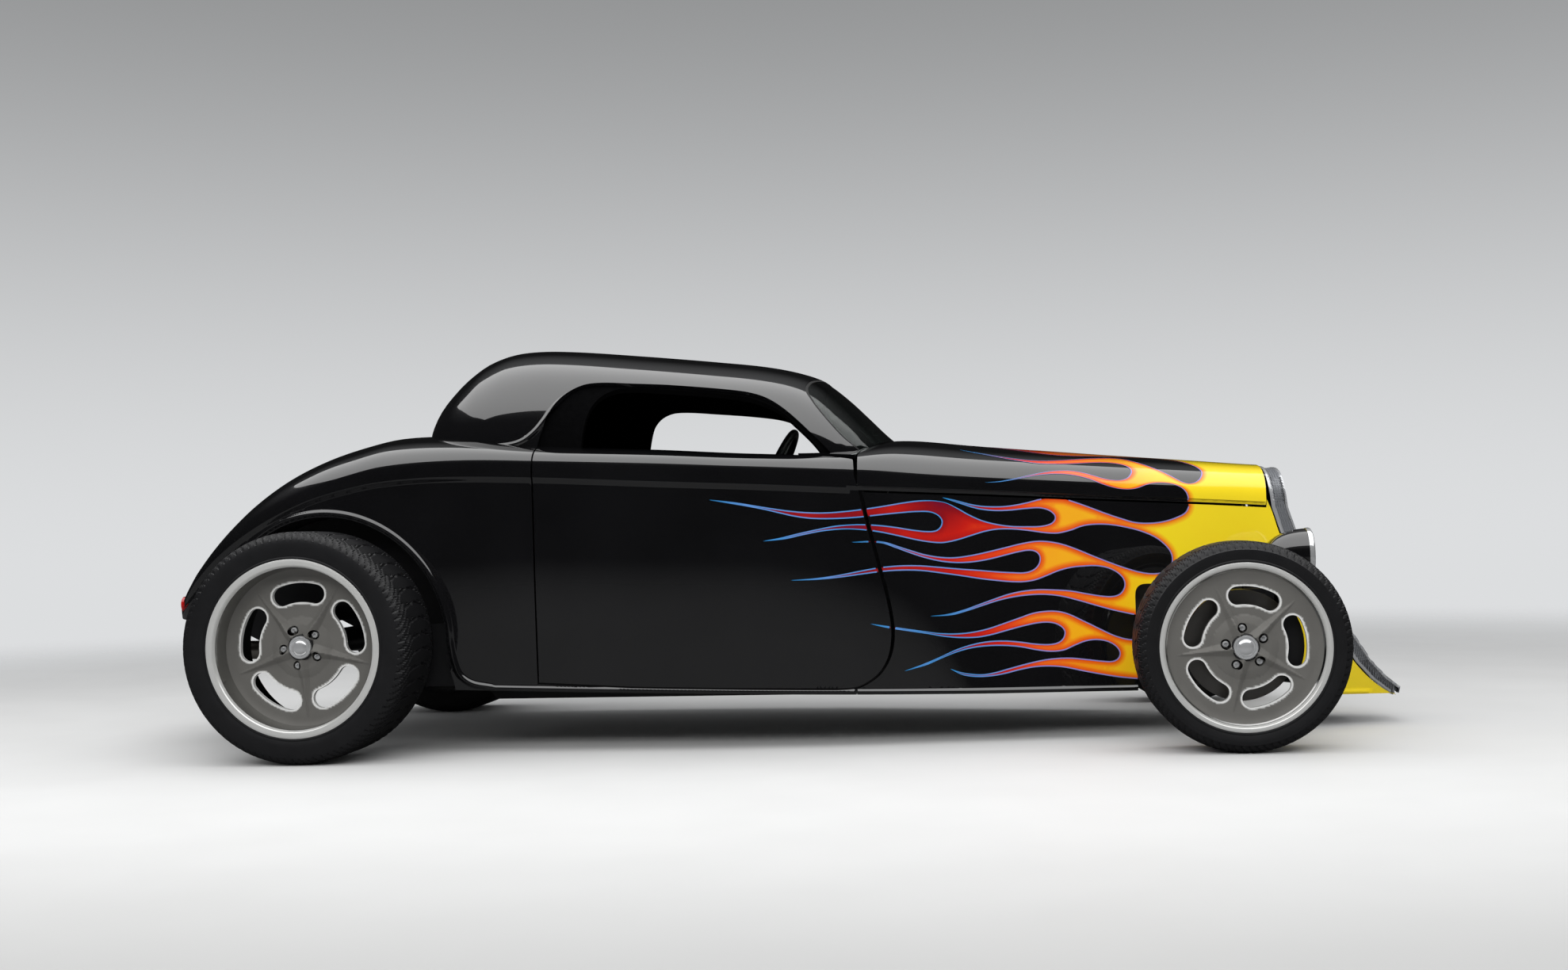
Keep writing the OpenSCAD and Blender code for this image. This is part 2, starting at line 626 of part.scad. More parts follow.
// ---- Cockpit ----------------------------------------------------------------------------------
module dashboard() {
    color("dimgray") translate([240, 0, 0]) rotate([90, 0, 0]) linear_extrude(height = 900, center = true)
        polygon([[0, 740], [10, 835], [60, 868], [92, 868], [92, 715], [30, 715]]);
}
module seat() {
    color("dimgray") {
        translate([-560, -340 - 235, 258]) cube([500, 470, 110]);
        translate([-600, -340 - 235, 372]) rotate([0, -14, 0]) cube([110, 470, 440]);
        translate([-680, -340 - 110, 770]) rotate([0, -14, 0]) cube([80, 220, 130]);
    }
}
COLUMN = [-45, 345, 890]; // middle of the steering wheel
COLUMN_TILT = 26;
COLUMN_LENGTH = 290;
module steering_column() {
    color("dimgray") translate(COLUMN) rotate([0, 90 + COLUMN_TILT, 0])
        translate([0, 0, 8]) cylinder(r = 22, h = COLUMN_LENGTH);
}
module steering_wheel() {
    color("black") translate(COLUMN) rotate([0, 90 + COLUMN_TILT, 0]) {
        rotate_extrude() translate([165, -6]) circle(r = 15, $fn = 24);
        translate([0, 0, -10]) cylinder(r = 45, h = 16);
        for (a = [90, 210, 330]) rotate([0, 0, a]) translate([40, -16, -8]) cube([114, 32, 6]);
    }
}

// ---- Each node by name ------------------------------------------------------------------------
module left() { mirror([0, 1, 0]) children(); }
chassis_frame();
floor_pan();
rear_body();
wheel_tubs();
side_panel();  // side_panel_right
left() side_panel();  // side_panel_left
door();  // door_right
left() door();  // door_left
hood_top();
deck_lid();
hardtop();
windshield();
rear_window();
grille_shell();
grille_bars();
headlights();
tail_lights();
plate_bracket();
dashboard();
seat();  // seat_right
left() seat();  // seat_left
steering_column();
steering_wheel();
engine_block();
radiator();
exhaust_pipes();
fuel_tank();
propeller_shaft();
rear_axle();
front_suspension();  // front_suspension_right
left() front_suspension();  // front_suspension_left
knuckle();  // knuckle_right
left() knuckle();  // knuckle_left
brake_disc_front();  // brake_disc_front_right
left() brake_disc_front();  // brake_disc_front_left
wheel_front();  // wheel_front_right
left() wheel_front();  // wheel_front_left
tyre_front();  // tyre_front_right
left() tyre_front();  // tyre_front_left
wheel_rear();  // wheel_rear_right
left() wheel_rear();  // wheel_rear_left
tyre_rear();  // tyre_rear_right
left() tyre_rear();  // tyre_rear_left
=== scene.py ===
import math

import bmesh
import bpy
import numpy as np
from mathutils import Matrix, Vector
from mathutils.geometry import delaunay_2d_cdt
from mathutils.kdtree import KDTree


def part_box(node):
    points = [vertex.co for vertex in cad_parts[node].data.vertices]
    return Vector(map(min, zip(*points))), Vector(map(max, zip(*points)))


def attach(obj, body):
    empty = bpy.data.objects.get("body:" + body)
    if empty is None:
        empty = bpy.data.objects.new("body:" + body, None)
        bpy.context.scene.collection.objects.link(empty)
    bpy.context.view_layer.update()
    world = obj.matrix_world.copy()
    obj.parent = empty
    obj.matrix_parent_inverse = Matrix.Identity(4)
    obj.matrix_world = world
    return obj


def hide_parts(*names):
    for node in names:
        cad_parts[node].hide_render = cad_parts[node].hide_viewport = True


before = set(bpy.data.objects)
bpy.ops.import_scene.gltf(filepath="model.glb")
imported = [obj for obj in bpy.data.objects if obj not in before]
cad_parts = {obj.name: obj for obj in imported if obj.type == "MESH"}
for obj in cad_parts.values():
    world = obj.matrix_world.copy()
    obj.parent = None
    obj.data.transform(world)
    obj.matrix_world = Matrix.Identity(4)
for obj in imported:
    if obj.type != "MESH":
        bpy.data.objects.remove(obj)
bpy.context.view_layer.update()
bpy.ops.object.select_all(action="DESELECT")

# ---- Body surface --------------------------------------------------------------------------
# The body is steel sheet, formed over a jig by hand and welded into one smooth shape. Its
# cross-sections stand along the car; every panel is a piece of the surface they make. Sizes in
# this section and in the panel outlines are millimetres.
# x, top height, belt half width, belt height, sill half width, sill height, squareness
BODY = np.array([
    (-2063, 447, 110, 445, 108, 436, 2.4), (-2045, 464, 245, 454, 242, 434, 2.4),
    (-2020, 482, 325, 466, 320, 432, 2.4), (-1985, 508, 390, 484, 384, 430, 2.4),
    (-1940, 552, 445, 516, 437, 428, 2.4), (-1880, 624, 492, 566, 482, 424, 2.4),
    (-1820, 696, 528, 616, 516, 412, 2.4), (-1750, 772, 560, 666, 546, 385, 2.4),
    (-1660, 848, 592, 720, 576, 335, 2.5), (-1550, 916, 622, 774, 604, 268, 2.6),
    (-1430, 966, 645, 820, 625, 225, 2.7), (-1310, 1000, 660, 850, 640, 212, 2.8),
    (-1190, 1020, 672, 870, 648, 207, 3.0), (-1000, 1014, 682, 880, 655, 203, 3.4),
    (-700, 975, 690, 871, 660, 194, 4.5), (-300, 950, 685, 848, 658, 182, 5.0),
    (0, 932, 665, 832, 640, 173, 5.0), (280, 938, 622, 815, 605, 165, 4.0),
    (440, 966, 578, 806, 570, 160, 3.0), (700, 942, 505, 792, 520, 154, 2.8),
    (1100, 904, 398, 768, 432, 148, 2.8), (1400, 877, 318, 751, 345, 140, 2.8),
    (1640, 856, 246, 735, 262, 118, 2.8), (1800, 850, 210, 722, 196, 105, 2.8),
    (1930, 845, 185, 712, 138, 100, 2.8), (2063, 840, 160, 700, 88, 96, 2.8),
])
TOP_Z, BELT_Y, BELT_Z, SILL_Y, SILL_Z, SQUARE = range(1, 7)
QUARTER = 900.0  # how far a section's own scale runs from the middle of the top to the belt


def curve(table, x, column):
    """A smooth curve through one column of a table of sections."""
    stations, values = table[:, 0], table[:, column]
    slopes = np.empty_like(values)
    slopes[1:-1] = (values[2:] - values[:-2]) / (stations[2:] - stations[:-2])
    slopes[0] = (values[1] - values[0]) / (stations[1] - stations[0])
    slopes[-1] = (values[-1] - values[-2]) / (stations[-1] - stations[-2])
    x = np.asarray(x, float)
    i = np.clip(np.searchsorted(stations, x, side="right") - 1, 0, len(stations) - 2)
    span = stations[i + 1] - stations[i]
    u = (x - stations[i]) / span
    return (values[i] * (1 + 2 * u) * (1 - u) ** 2 + slopes[i] * span * u * (1 - u) ** 2
            + values[i + 1] * u * u * (3 - 2 * u) + slopes[i + 1] * span * u * u * (u - 1))


def bend_of(angle, square):
    """A quarter of a squared ellipse: across and up, each from 0 to 1."""
    sine, cosine = np.sin(angle), np.cos(angle)
    size = (sine ** square + cosine ** square) ** (1 / square)
    return sine / size, cosine / size


def plain_body(x, t):
    """A point of the body: t runs from the right sill (below -900) over the top to the left one."""
    x, t = np.broadcast_arrays(np.asarray(x, float), np.asarray(t, float))
    down = np.abs(t)
    top, belt_y, belt = curve(BODY, x, TOP_Z), curve(BODY, x, BELT_Y), curve(BODY, x, BELT_Z)
    belt = np.minimum(belt, top - 2)
    sill_y, sill = curve(BODY, x, SILL_Y), curve(BODY, x, SILL_Z)
    across, up = bend_of(np.radians(90) * np.minimum(down, QUARTER) / QUARTER, curve(BODY, x, SQUARE))
    fall = np.maximum(down - QUARTER, 0)
    part = fall / np.maximum(belt - sill, 1)
    y = np.where(down < QUARTER, belt_y * across, belt_y + (sill_y - belt_y) * part ** 2)
    z = np.where(down < QUARTER, belt + (top - belt) * up, belt - fall)
    return np.stack([x, np.sign(t) * y, z], axis=-1)


def body_t(x, z):
    """Where on a section's scale the side view shows height z, on the right side."""
    x, z = np.asarray(x, float), np.asarray(z, float)
    belt, top, square = curve(BODY, x, BELT_Z), curve(BODY, x, TOP_Z), curve(BODY, x, SQUARE)
    up = np.clip((z - belt) / (top - belt), 0, 1)
    angle = np.arctan2((1 - up ** square) ** (1 / square), up)
    return -np.where(z < belt, QUARTER + belt - z, QUARTER * angle / np.radians(90))


def body_plan_t(x, y):
    """The same for a point y from the middle, seen from above."""
    x, across = np.asarray(x, float), np.clip(np.asarray(y, float) / curve(BODY, x, BELT_Y), 0, 1)
    square = curve(BODY, x, SQUARE)
    return -QUARTER * np.arctan2(across, (1 - across ** square) ** (1 / square)) / np.radians(90)


def smooth(points, step=8.0, closed=False):
    """A curve through given points, as a row of close ones."""
    p = np.array(points, float)
    ends = (p[-1], p[0]) if closed else (2 * p[0] - p[1], 2 * p[-1] - p[-2])
    p = np.vstack([ends[0], p, ends[1]] + ([p[1]] if closed else []))
    row = []
    for a, b, c, d in zip(p[:-3], p[1:-2], p[2:-1], p[3:]):
        u = np.linspace(0, 1, max(int(np.hypot(*(c - b)) / step), 1) + 1)[:-1, None]
        # the slope at each point follows its neighbours, and is shorter beside a short span
        near, far = np.hypot(*(c - b)), 1e-9
        slope_b = (c - a) * near / (near + np.hypot(*(b - a)) + far)
        slope_c = (d - b) * near / (near + np.hypot(*(d - c)) + far)
        row.append(b * (1 + 2 * u) * (1 - u) ** 2 + slope_b * u * (1 - u) ** 2
                   + c * u * u * (3 - 2 * u) + slope_c * u * u * (u - 1))
    return np.vstack(row + ([] if closed else [p[-2:-1]]))


def straight(points, step=12.0):
    """A row of close points along straight lines between corners."""
    p = np.array(points, float)
    return np.vstack([a + (b - a) * np.linspace(0, 1, max(int(np.hypot(*(b - a)) / step), 1) + 1)[:-1, None]
                      for a, b in zip(p[:-1], p[1:])] + [p[-1:]])


# A half-round bead runs along each line here: side-view points, half width and height
ARCH = (-1392.0, 357.0)  # the wheel's centre
LIP_R = 415.0
lip_path = np.vstack([
    straight([(-1975, 447), (-1674, 673)], 8),
    [(ARCH[0] + LIP_R * math.cos(a), ARCH[1] + LIP_R * math.sin(a))
     for a in np.radians(np.arange(130, 2, -1.2))],
    smooth([(-977, 357), (-968, 300), (-950, 250), (-912, 222), (-850, 209)], 8),
])
sill_path = np.array([(x, curve(BODY, x, SILL_Z) + 8) for x in np.arange(-860, 1960, 12.0)])


def away_from(path, points):
    """The distance from each point to the nearest place on a path."""
    tree = KDTree(len(path))
    for i, (u, v) in enumerate(path):
        tree.insert((u, v, 0), i)
    tree.balance()
    found = [tree.find((u, v, 0))[1:] for u, v in points]
    gaps = np.array([gap for _, gap in found])
    nearest = np.array([i for i, _ in found])
    best = gaps
    for other in (np.maximum(nearest - 1, 0), np.minimum(nearest + 1, len(path) - 1)):
        a, b = path[nearest], path[other]
        along = b - a
        u = np.clip(((points - a) * along).sum(1) / np.maximum((along ** 2).sum(1), 1e-9), 0, 1)
        best = np.minimum(best, np.hypot(*(points - a - along * u[:, None]).T))
    return best


def rounded(distance, half, height):
    return height * np.cos(np.clip(distance / half, 0, 1) * np.pi / 2) ** 1.5


def body_swell(x, t):
    """How far the beads stand up from the plain surface."""
    shape = x.shape
    x, t = x.ravel(), t.ravel()
    below = np.abs(t) - QUARTER
    z = curve(BODY, x, BELT_Z) - below
    ahead = x > 296
    middle, half = np.where(ahead, -6.0, 3.0), np.where(ahead, 17.0, 20.0)
    high = np.where(ahead, 7.0, 8.0) * np.clip((x + 1975) / 90, 0, 1)
    swell = rounded(below - middle, half, high)
    side = below > 25
    if side.any():
        spots = np.stack([x[side], z[side]], axis=-1)
        low = np.maximum(rounded(away_from(lip_path, spots), 12, 7),
                         rounded(away_from(sill_path, spots), 11, 6))
        swell[side] = np.maximum(swell[side], low)
    return swell.reshape(shape)


def slope_of(surface, x, t, reach=0.7):
    """The outward direction of a surface at each point."""
    n = np.cross(surface(x + reach, t) - surface(x - reach, t), surface(x, t + reach) - surface(x, t - reach))
    return n / np.maximum(np.linalg.norm(n, axis=-1, keepdims=True), 1e-9)


def body(x, t):
    x = np.clip(x, -2062.2, 2062.2)
    return plain_body(x, t) + slope_of(plain_body, x, t) * body_swell(x, t)[..., None]


def inside(outline, points):
    """Which points lie inside a closed outline."""
    x, y = points[:, 0], points[:, 1]
    odd = np.zeros(len(points), bool)
    for (ax, ay), (bx, by) in zip(outline, np.roll(outline, -1, axis=0)):
        if ay != by:
            crossed = (ay > y) != (by > y)
            odd[crossed] ^= x[crossed] < ax + (y[crossed] - ay) * (bx - ax) / (by - ay)
    return odd


def spread_points(columns, rows):
    """Points over the body surface: even rows, and close ones on its beads."""
    x, t = (grid.ravel() for grid in np.meshgrid(columns, rows))
    spots = np.stack([x, curve(BODY, x, BELT_Z) - np.abs(t) + QUARTER], axis=-1)
    on_bead = (away_from(lip_path, spots) < 14.5) | (away_from(sill_path, spots) < 13.5)
    points = [np.stack([x, t], axis=-1)[~(on_bead & (np.abs(t) > QUARTER))]]
    for spots, half in ((lip_path, 12), (sill_path, 11)):
        along = np.gradient(spots, axis=0)
        across = np.stack([-along[:, 1], along[:, 0]], axis=-1) / np.hypot(*along.T)[:, None]
        for share in (-1.15, -0.95, -0.75, -0.55, -0.35, -0.15, 0, 0.15, 0.35, 0.55, 0.75, 0.95, 1.15):
            spot = spots + across * half * share
            right = np.stack([spot[:, 0], body_t(spot[:, 0], spot[:, 1])], axis=-1)
            points += [right, right * (1, -1)]
    return np.vstack(points)


def row_marks():
    belt = QUARTER + np.array([-34, -27, -23, -21, -20, -17, -13, -9, -5, -1, 3, 7, 10, 13, 16, 18, 20, 24,
                               32])
    half = np.concatenate([np.arange(0, QUARTER - 38, 14), belt, np.arange(QUARTER + 44, QUARTER + 660, 14)])
    return np.concatenate([-half[:0:-1], half])


def sheet_metal(name, surface, keep, cut=(), points=(), thick=1.2, lift=0.0, near=3.0, values=None):
    """One panel: the part of a surface inside all of keep and outside all of cut."""
    edges_of, spots, count = [], [], 0
    for outline in list(keep) + list(cut):
        spots.append(outline)
        ring = np.arange(len(outline)) + count
        edges_of += list(zip(ring.tolist(), np.roll(ring, -1).tolist()))
        count += len(outline)
    low, high = keep[0].min(0) - 1, keep[0].max(0) + 1
    inner = points[((points > low) & (points < high)).all(1)]
    for outline in keep:
        inner = inner[inside(outline, inner)]
    for outline in cut:
        inner = inner[~inside(outline, inner)]
    ring = np.vstack(spots)
    tree = KDTree(len(ring))
    for i, (u, v) in enumerate(ring):
        tree.insert((u, v, 0), i)
    tree.balance()
    inner = inner[np.array([tree.find((u, v, 0))[2] > near for u, v in inner], bool)] if len(inner) else inner
    verts = [Vector(v) for v in np.vstack([ring, inner]).tolist()]
    flat, _, faces, *_ = delaunay_2d_cdt(verts, edges_of, [], 0, 1e-4, False)
    flat = np.array([v[:] for v in flat])
    faces = np.array(faces)
    middles = flat[faces].mean(1)
    good = np.ones(len(faces), bool)
    for outline in keep:
        good &= inside(outline, middles)
    for outline in cut:
        good &= ~inside(outline, middles)
    a, b, c = flat[faces[:, 0]], flat[faces[:, 1]], flat[faces[:, 2]]
    area = (b[:, 0] - a[:, 0]) * (c[:, 1] - a[:, 1]) - (b[:, 1] - a[:, 1]) * (c[:, 0] - a[:, 0])
    faces[area < 0] = faces[area < 0][:, ::-1]
    faces = faces[good & (np.abs(area) > 1e-3)]
    used, faces = np.unique(faces, return_inverse=True)
    faces = faces.reshape(-1, 3)
    flat = flat[used]
    x, t = flat[:, 0], flat[:, 1]
    outer = surface(x, t)
    normals = slope_of(surface, x, t)
    outer = outer + normals * lift
    count = len(outer)
    solid = thick > 0
    if solid:
        sides = {}
        for face in faces:
            for i in range(3):
                key = (face[i], face[(i + 1) % 3])
                if (key[1], key[0]) in sides:
                    del sides[(key[1], key[0])]
                else:
                    sides[key] = True
        rim = np.array(list(sides))
        walls = np.vstack([np.stack([rim[:, 1], rim[:, 0], rim[:, 0] + count], 1),
                           np.stack([rim[:, 1], rim[:, 0] + count, rim[:, 1] + count], 1)])
        verts = np.vstack([outer, outer - normals * thick])
        triangles = np.vstack([faces, faces[:, ::-1] + count, walls])
    else:
        verts, triangles = outer, faces
    mesh = bpy.data.meshes.new(name)
    mesh.from_pydata((verts / 1000).tolist(), [], triangles.tolist())
    mesh.polygons.foreach_set("use_smooth", np.ones(len(triangles), bool))
    both_ways = np.vstack([normals, -normals]) if solid else normals
    corner = both_ways[triangles.ravel()]
    if solid:
        p = verts[walls]
        wall = np.cross(p[:, 1] - p[:, 0], p[:, 2] - p[:, 0])
        wall /= np.maximum(np.linalg.norm(wall, axis=1, keepdims=True), 1e-9)
        corner[-3 * len(walls):] = np.repeat(wall, 3, axis=0)
    mesh.normals_split_custom_set(corner.tolist())
    for label, function in (values or {}).items():
        layer = mesh.attributes.new(label, "FLOAT", "POINT")
        one = function(flat)
        layer.data.foreach_set("value", np.concatenate([one, one]) if solid else one)
    piece = bpy.data.objects.new(name, mesh)
    bpy.context.scene.collection.objects.link(piece)
    return piece


class Wire:
    """A shader socket; arithmetic on it adds Math nodes."""

    def __init__(self, tree, socket=None):
        self.tree, self.socket = tree, socket

    def node(self, kind, settings=(), sockets=(), out=0):
        made = self.tree.nodes.new("ShaderNode" + kind)
        for key, value in dict(settings).items():
            if key == "stops":
                for stop in value[2:]:
                    made.color_ramp.elements.new(stop[0])
                for element, (place, colour) in zip(made.color_ramp.elements, sorted(value)):
                    element.position, element.color = place, (*colour, 1)
            else:
                setattr(made, key, value)
        for key, value in dict(sockets).items():
            if isinstance(value, Wire):
                self.tree.links.new(value.socket, made.inputs[key])
            else:
                made.inputs[key].default_value = value
        return Wire(self.tree, made.outputs[out])

    def math(self, operation, *values):
        return self.node("Math", {"operation": operation}, dict(enumerate(values)))

    def __add__(self, other): return self.math("ADD", self, other)
    def __radd__(self, other): return self.math("ADD", other, self)
    def __sub__(self, other): return self.math("SUBTRACT", self, other)
    def __rsub__(self, other): return self.math("SUBTRACT", other, self)
    def __mul__(self, other): return self.math("MULTIPLY", self, other)
    def __rmul__(self, other): return self.math("MULTIPLY", other, self)
    def __truediv__(self, other): return self.math("DIVIDE", self, other)
    def __pow__(self, other): return self.math("POWER", self, other)

    def limited(self):
        return self.node("Clamp", {}, {"Value": self})

    def step(self, low, high):
        return self.node("MapRange", {"interpolation_type": "SMOOTHSTEP"},
                         {"Value": self, "From Min": low, "From Max": high})

    def mixed(self, a, b):
        return self.node("Mix", {"data_type": "RGBA"}, {"Factor": self, 6: a, 7: b}, out=2)


def finish(name, colour, rough, metal=0.0, coat=0.0, vary=0.12, grain=18.0, bump=0.0, bump_grain=400.0,
           spread=0.05, settings=()):
    """A material whose colour and gloss drift a little over the piece, as a real surface's do."""
    material = bpy.data.materials.new(name)
    material.use_nodes = True
    shader = material.node_tree.nodes["Principled BSDF"]
    start = Wire(material.node_tree)
    where = start.node("TexCoord", out="Object")
    drift = start.node("TexNoise", {}, {"Vector": where, "Scale": grain, "Detail": 5.0, "Roughness": 0.6})
    links = material.node_tree.links
    dark = (*[c * (1 - vary) for c in colour], 1)
    pale = (*[min(c * (1 + vary) + 0.002 * vary, 1) for c in colour], 1)
    links.new(drift.mixed(dark, pale).socket, shader.inputs["Base Color"])
    links.new(((drift - 0.5) * spread * 2 + rough).limited().socket, shader.inputs["Roughness"])
    shader.inputs["Metallic"].default_value = metal
    shader.inputs["Coat Weight"].default_value = coat
    shader.inputs["Coat Roughness"].default_value = 0.03
    for key, value in dict(settings).items():
        shader.inputs[key].default_value = value
    if bump:
        fine = start.node("TexNoise", {}, {"Vector": where, "Scale": bump_grain, "Detail": 3.0})
        made = start.node("Bump", {}, {"Height": fine, "Distance": bump, "Strength": 0.6})
        links.new(made.socket, shader.inputs["Normal"])
    return material


GLOSS_BLACK = finish("gloss_black_paint", (0.0035, 0.0035, 0.004), 0.10, coat=1.0, vary=0.5, grain=3.0,
                     spread=0.02,
                     settings={"Specular IOR Level": 0.25, "Coat IOR": 2.0, "Coat Roughness": 0.012})


def dress(piece, material, body="body", stands_for=()):
    piece.data.materials.append(material)
    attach(piece, body)
    if stands_for:
        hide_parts(*stands_for)


# ---- Rear body -----------------------------------------------------------------------------
# One welded shell: cowl, quarters and tail, with the holes for doors, cockpit, boot lid and
# rear wheels. Sprayed gloss black and polished.
GAP, DOOR_FRONT_GAP = 6, 11


def door_line(grow=0.0, front=0.0):
    """The door's outline in the side view: square at its hinges, rounded along the cowl."""
    return np.vstack([
        straight([(-694 - grow, 222 - grow), (-400, 205 - grow), (0, 192 - grow), (240, 185 - grow)]),
        smooth([(240, 185 - grow), (290, 187 - grow), (318 + front * 0.4, 194 - grow),
                (366 + front * 0.7, 226 - grow * 0.7),
                (396 + front * 0.9, 270), (409 + front, 320), (411 + front, 378), (398 + front, 464),
                (366 + front, 599), (340 + front, 710), (324 + front, 784), (308 + front, 845)], 10),
    ])


def on_side(points):
    """Side-view points as places on the right side of the body."""
    points = np.asarray(points, float)
    return np.stack([points[:, 0], body_t(points[:, 0], points[:, 1])], axis=-1)


def door_ring(grow=0.0, front=0.0, top_y=560.0):
    """The door with its top, which turns in over the shoulder to top_y from the middle."""
    side = on_side(door_line(grow, front))
    x1 = 304 + front
    back = -690 - grow
    x = np.arange(x1 - 2, back, -12.0)
    top = np.stack([x, body_plan_t(x, np.minimum(top_y, curve(BODY, x, BELT_Y) * 0.999))], axis=-1)
    start = straight([side[-1], (x1, top[0, 1])], 14)[1:-1]
    end = straight([(back, top[-1, 1]), side[0]], 14)[:-1]
    return np.vstack([side, start, top, end])


def plan_ring(points, step=10.0, closed=False, corners=True):
    row = straight(points, step) if corners else smooth(points, step, closed)
    return np.stack([row[:, 0], body_plan_t(row[:, 0], row[:, 1])], axis=-1)


def mirrored(half):
    """A ring across the car from its right half, which starts and ends on the middle line."""
    return np.vstack([half, (half * (1, -1))[::-1][1:-1]])


HOOD_BACK = [(443, 0), (440, 120), (428, 250), (406, 345), (378, 410), (350, 462), (330, 512), (318, 560)]
HOOD_FRONT = 1618.0
HOOD_FOOT = -(QUARTER + 11)  # the hood's lower edge on the sections' scale
hood_back = plan_ring(HOOD_BACK, corners=False)


def hood_ring(grow=0.0):
    back = hood_back - (grow, 0)
    foot = HOOD_FOOT - grow
    front = HOOD_FRONT + grow
    half = np.vstack([
        straight([(front, 0), (front, foot)], 14)[:-1],
        straight([(front, foot), (back[-1, 0] - 1, foot)], 12)[:-1],
        straight([(back[-1, 0] - 1, foot), back[-1]], 12)[:-1],
        back[::-1],
    ])
    return mirrored(half)


DECK = [(-1236, 0), (-1236, 200), (-1238, 300), (-1252, 366), (-1290, 396), (-1350, 399), (-1600, 392),
        (-1850, 360),
        (-1925, 332), (-1962, 280), (-1974, 150), (-1976, 0)]


def deck_ring(grow=0.0):
    middle = np.array([-1600.0, 0.0])
    points = np.array(DECK, float)
    points += np.sign(points - middle) * (np.abs(points - middle) > 150) * grow
    return mirrored(plan_ring(points, 10, corners=False))


COCKPIT = [(-1010, 0), (-1010, 280), (-990, 370), (-930, 455), (-860, 520), (-700, 575), (-300, 585),
           (60, 570), (200, 545),
           (300, 515), (330, 470), (333, 0)]
cockpit_ring = mirrored(plan_ring(COCKPIT, 10, corners=False))
ARCH_R = 402.0
arch_line = np.vstack([
    straight([(-2100, 380), (-2063, 415), (-1960, 429), (-1657, 659)], 10),
    [(ARCH[0] + ARCH_R * math.cos(a), ARCH[1] + ARCH_R * math.sin(a))
     for a in np.radians(np.arange(130, 4, -1.5))],
    smooth([(-991, 330), (-988, 300), (-978, 255), (-967, 210), (-966, 170)], 8),
])
arch_ring = np.vstack([on_side(arch_line), [(-966, -1700), (-2100, -1700)]])
sill_x = np.arange(-2062, 2062, 12.0)
sill_t = -(QUARTER + curve(BODY, sill_x, BELT_Z) - curve(BODY, sill_x, SILL_Z))


def body_ring(x0, x1):
    """The whole width of the body between two stations."""
    right = np.stack([sill_x, sill_t], axis=-1)
    right = right[(sill_x > x0) & (sill_x < x1)]

    def edge(x):
        return x, float(-(QUARTER + curve(BODY, x, BELT_Z) - curve(BODY, x, SILL_Z)))

    right = np.vstack([[edge(x0)], right, [edge(x1)]])
    cross = straight([edge(x1), (x1, -edge(x1)[1])], 14)[1:-1]
    back = straight([(x0, -edge(x0)[1]), edge(x0)], 14)[1:-1]
    return np.vstack([right, cross, (right * (1, -1))[::-1], back])


columns = np.concatenate([-2062 + np.array([0, 1.5, 4, 8, 13, 20, 28, 37, 48]), np.arange(-2000, 2062, 19.0)])
body_points = spread_points(columns, row_marks())
rear_body = sheet_metal(
    "rear_body_shell", body, [body_ring(-2062.2, 460)],
    [door_ring(5, DOOR_FRONT_GAP), door_ring(5, DOOR_FRONT_GAP) * (1, -1), deck_ring(GAP), cockpit_ring,
     arch_ring, arch_ring * (1, -1), hood_ring(GAP),
     np.array([(300, -888), (300, -1700), (480, -1700), (480, -888)], float),
     np.array([(300, 888), (300, 1700), (480, 1700), (480, 888)], float)],
    body_points, thick=12)
dress(rear_body, GLOSS_BLACK, "body", ("rear_body",))

# ---- Side panels ---------------------------------------------------------------------------
# A fixed steel panel on each side, from the door to the grille, with a square hole over the
# front suspension. Its lower edge rolls out into the sill bead.
NOSE = [(1619, 745), (1634, 719), (1664, 628), (1706, 540), (1762, 432), (1836, 310), (1905, 207),
        (1958, 150), (2008, 112), (2050, 90)]
SUSPENSION_GAP = np.vstack([
    straight([(1182, 60), (1182, 446)]),
    smooth([(1182, 446), (1184, 462), (1192, 476), (1206, 483), (1222, 484)], 5),
    straight([(1222, 484), (1640, 484)]), smooth([(1640, 484), (1672, 474), (1686, 450)], 6),
    straight([(1686, 450), (1700, 60)]),
])
sill_run = np.stack([sill_x, sill_t], axis=-1)
side_ring = np.vstack([
    straight([(1620, -(QUARTER + 17)), (330, -(QUARTER + 17))], 12)[:-1],
    straight([(330, -(QUARTER + 17)), (294, -1500)], 14)[:-1],
    sill_run[(sill_x > 294) & (sill_x < 2046)],
    on_side(smooth(NOSE, 12))[::-1],
])
side_cuts = [np.vstack([door_ring(5, DOOR_FRONT_GAP)]), on_side(SUSPENSION_GAP)]
for side, sign in (("right", 1), ("left", -1)):
    panel = sheet_metal("side_panel_" + side + "_skin", body, [side_ring * (1, sign)],
                        [c * (1, sign) for c in side_cuts], body_points, thick=12)
    dress(panel, GLOSS_BLACK, "body", ("side_panel_" + side,))

# ---- Doors ---------------------------------------------------------------------------------
# Each door is a steel skin whose top turns in over the shoulder, round a boxed frame lined
# with black board. It is hinged at its rear edge.
LINING = finish("black_lining_board", (0.012, 0.012, 0.013), 0.62, vary=0.3, bump=0.0006, bump_grain=260)


def inset_body(depth):
    return lambda x, t: plain_body(x, t) - np.stack([0 * x, np.sign(t) * depth, 0 * x], axis=-1)


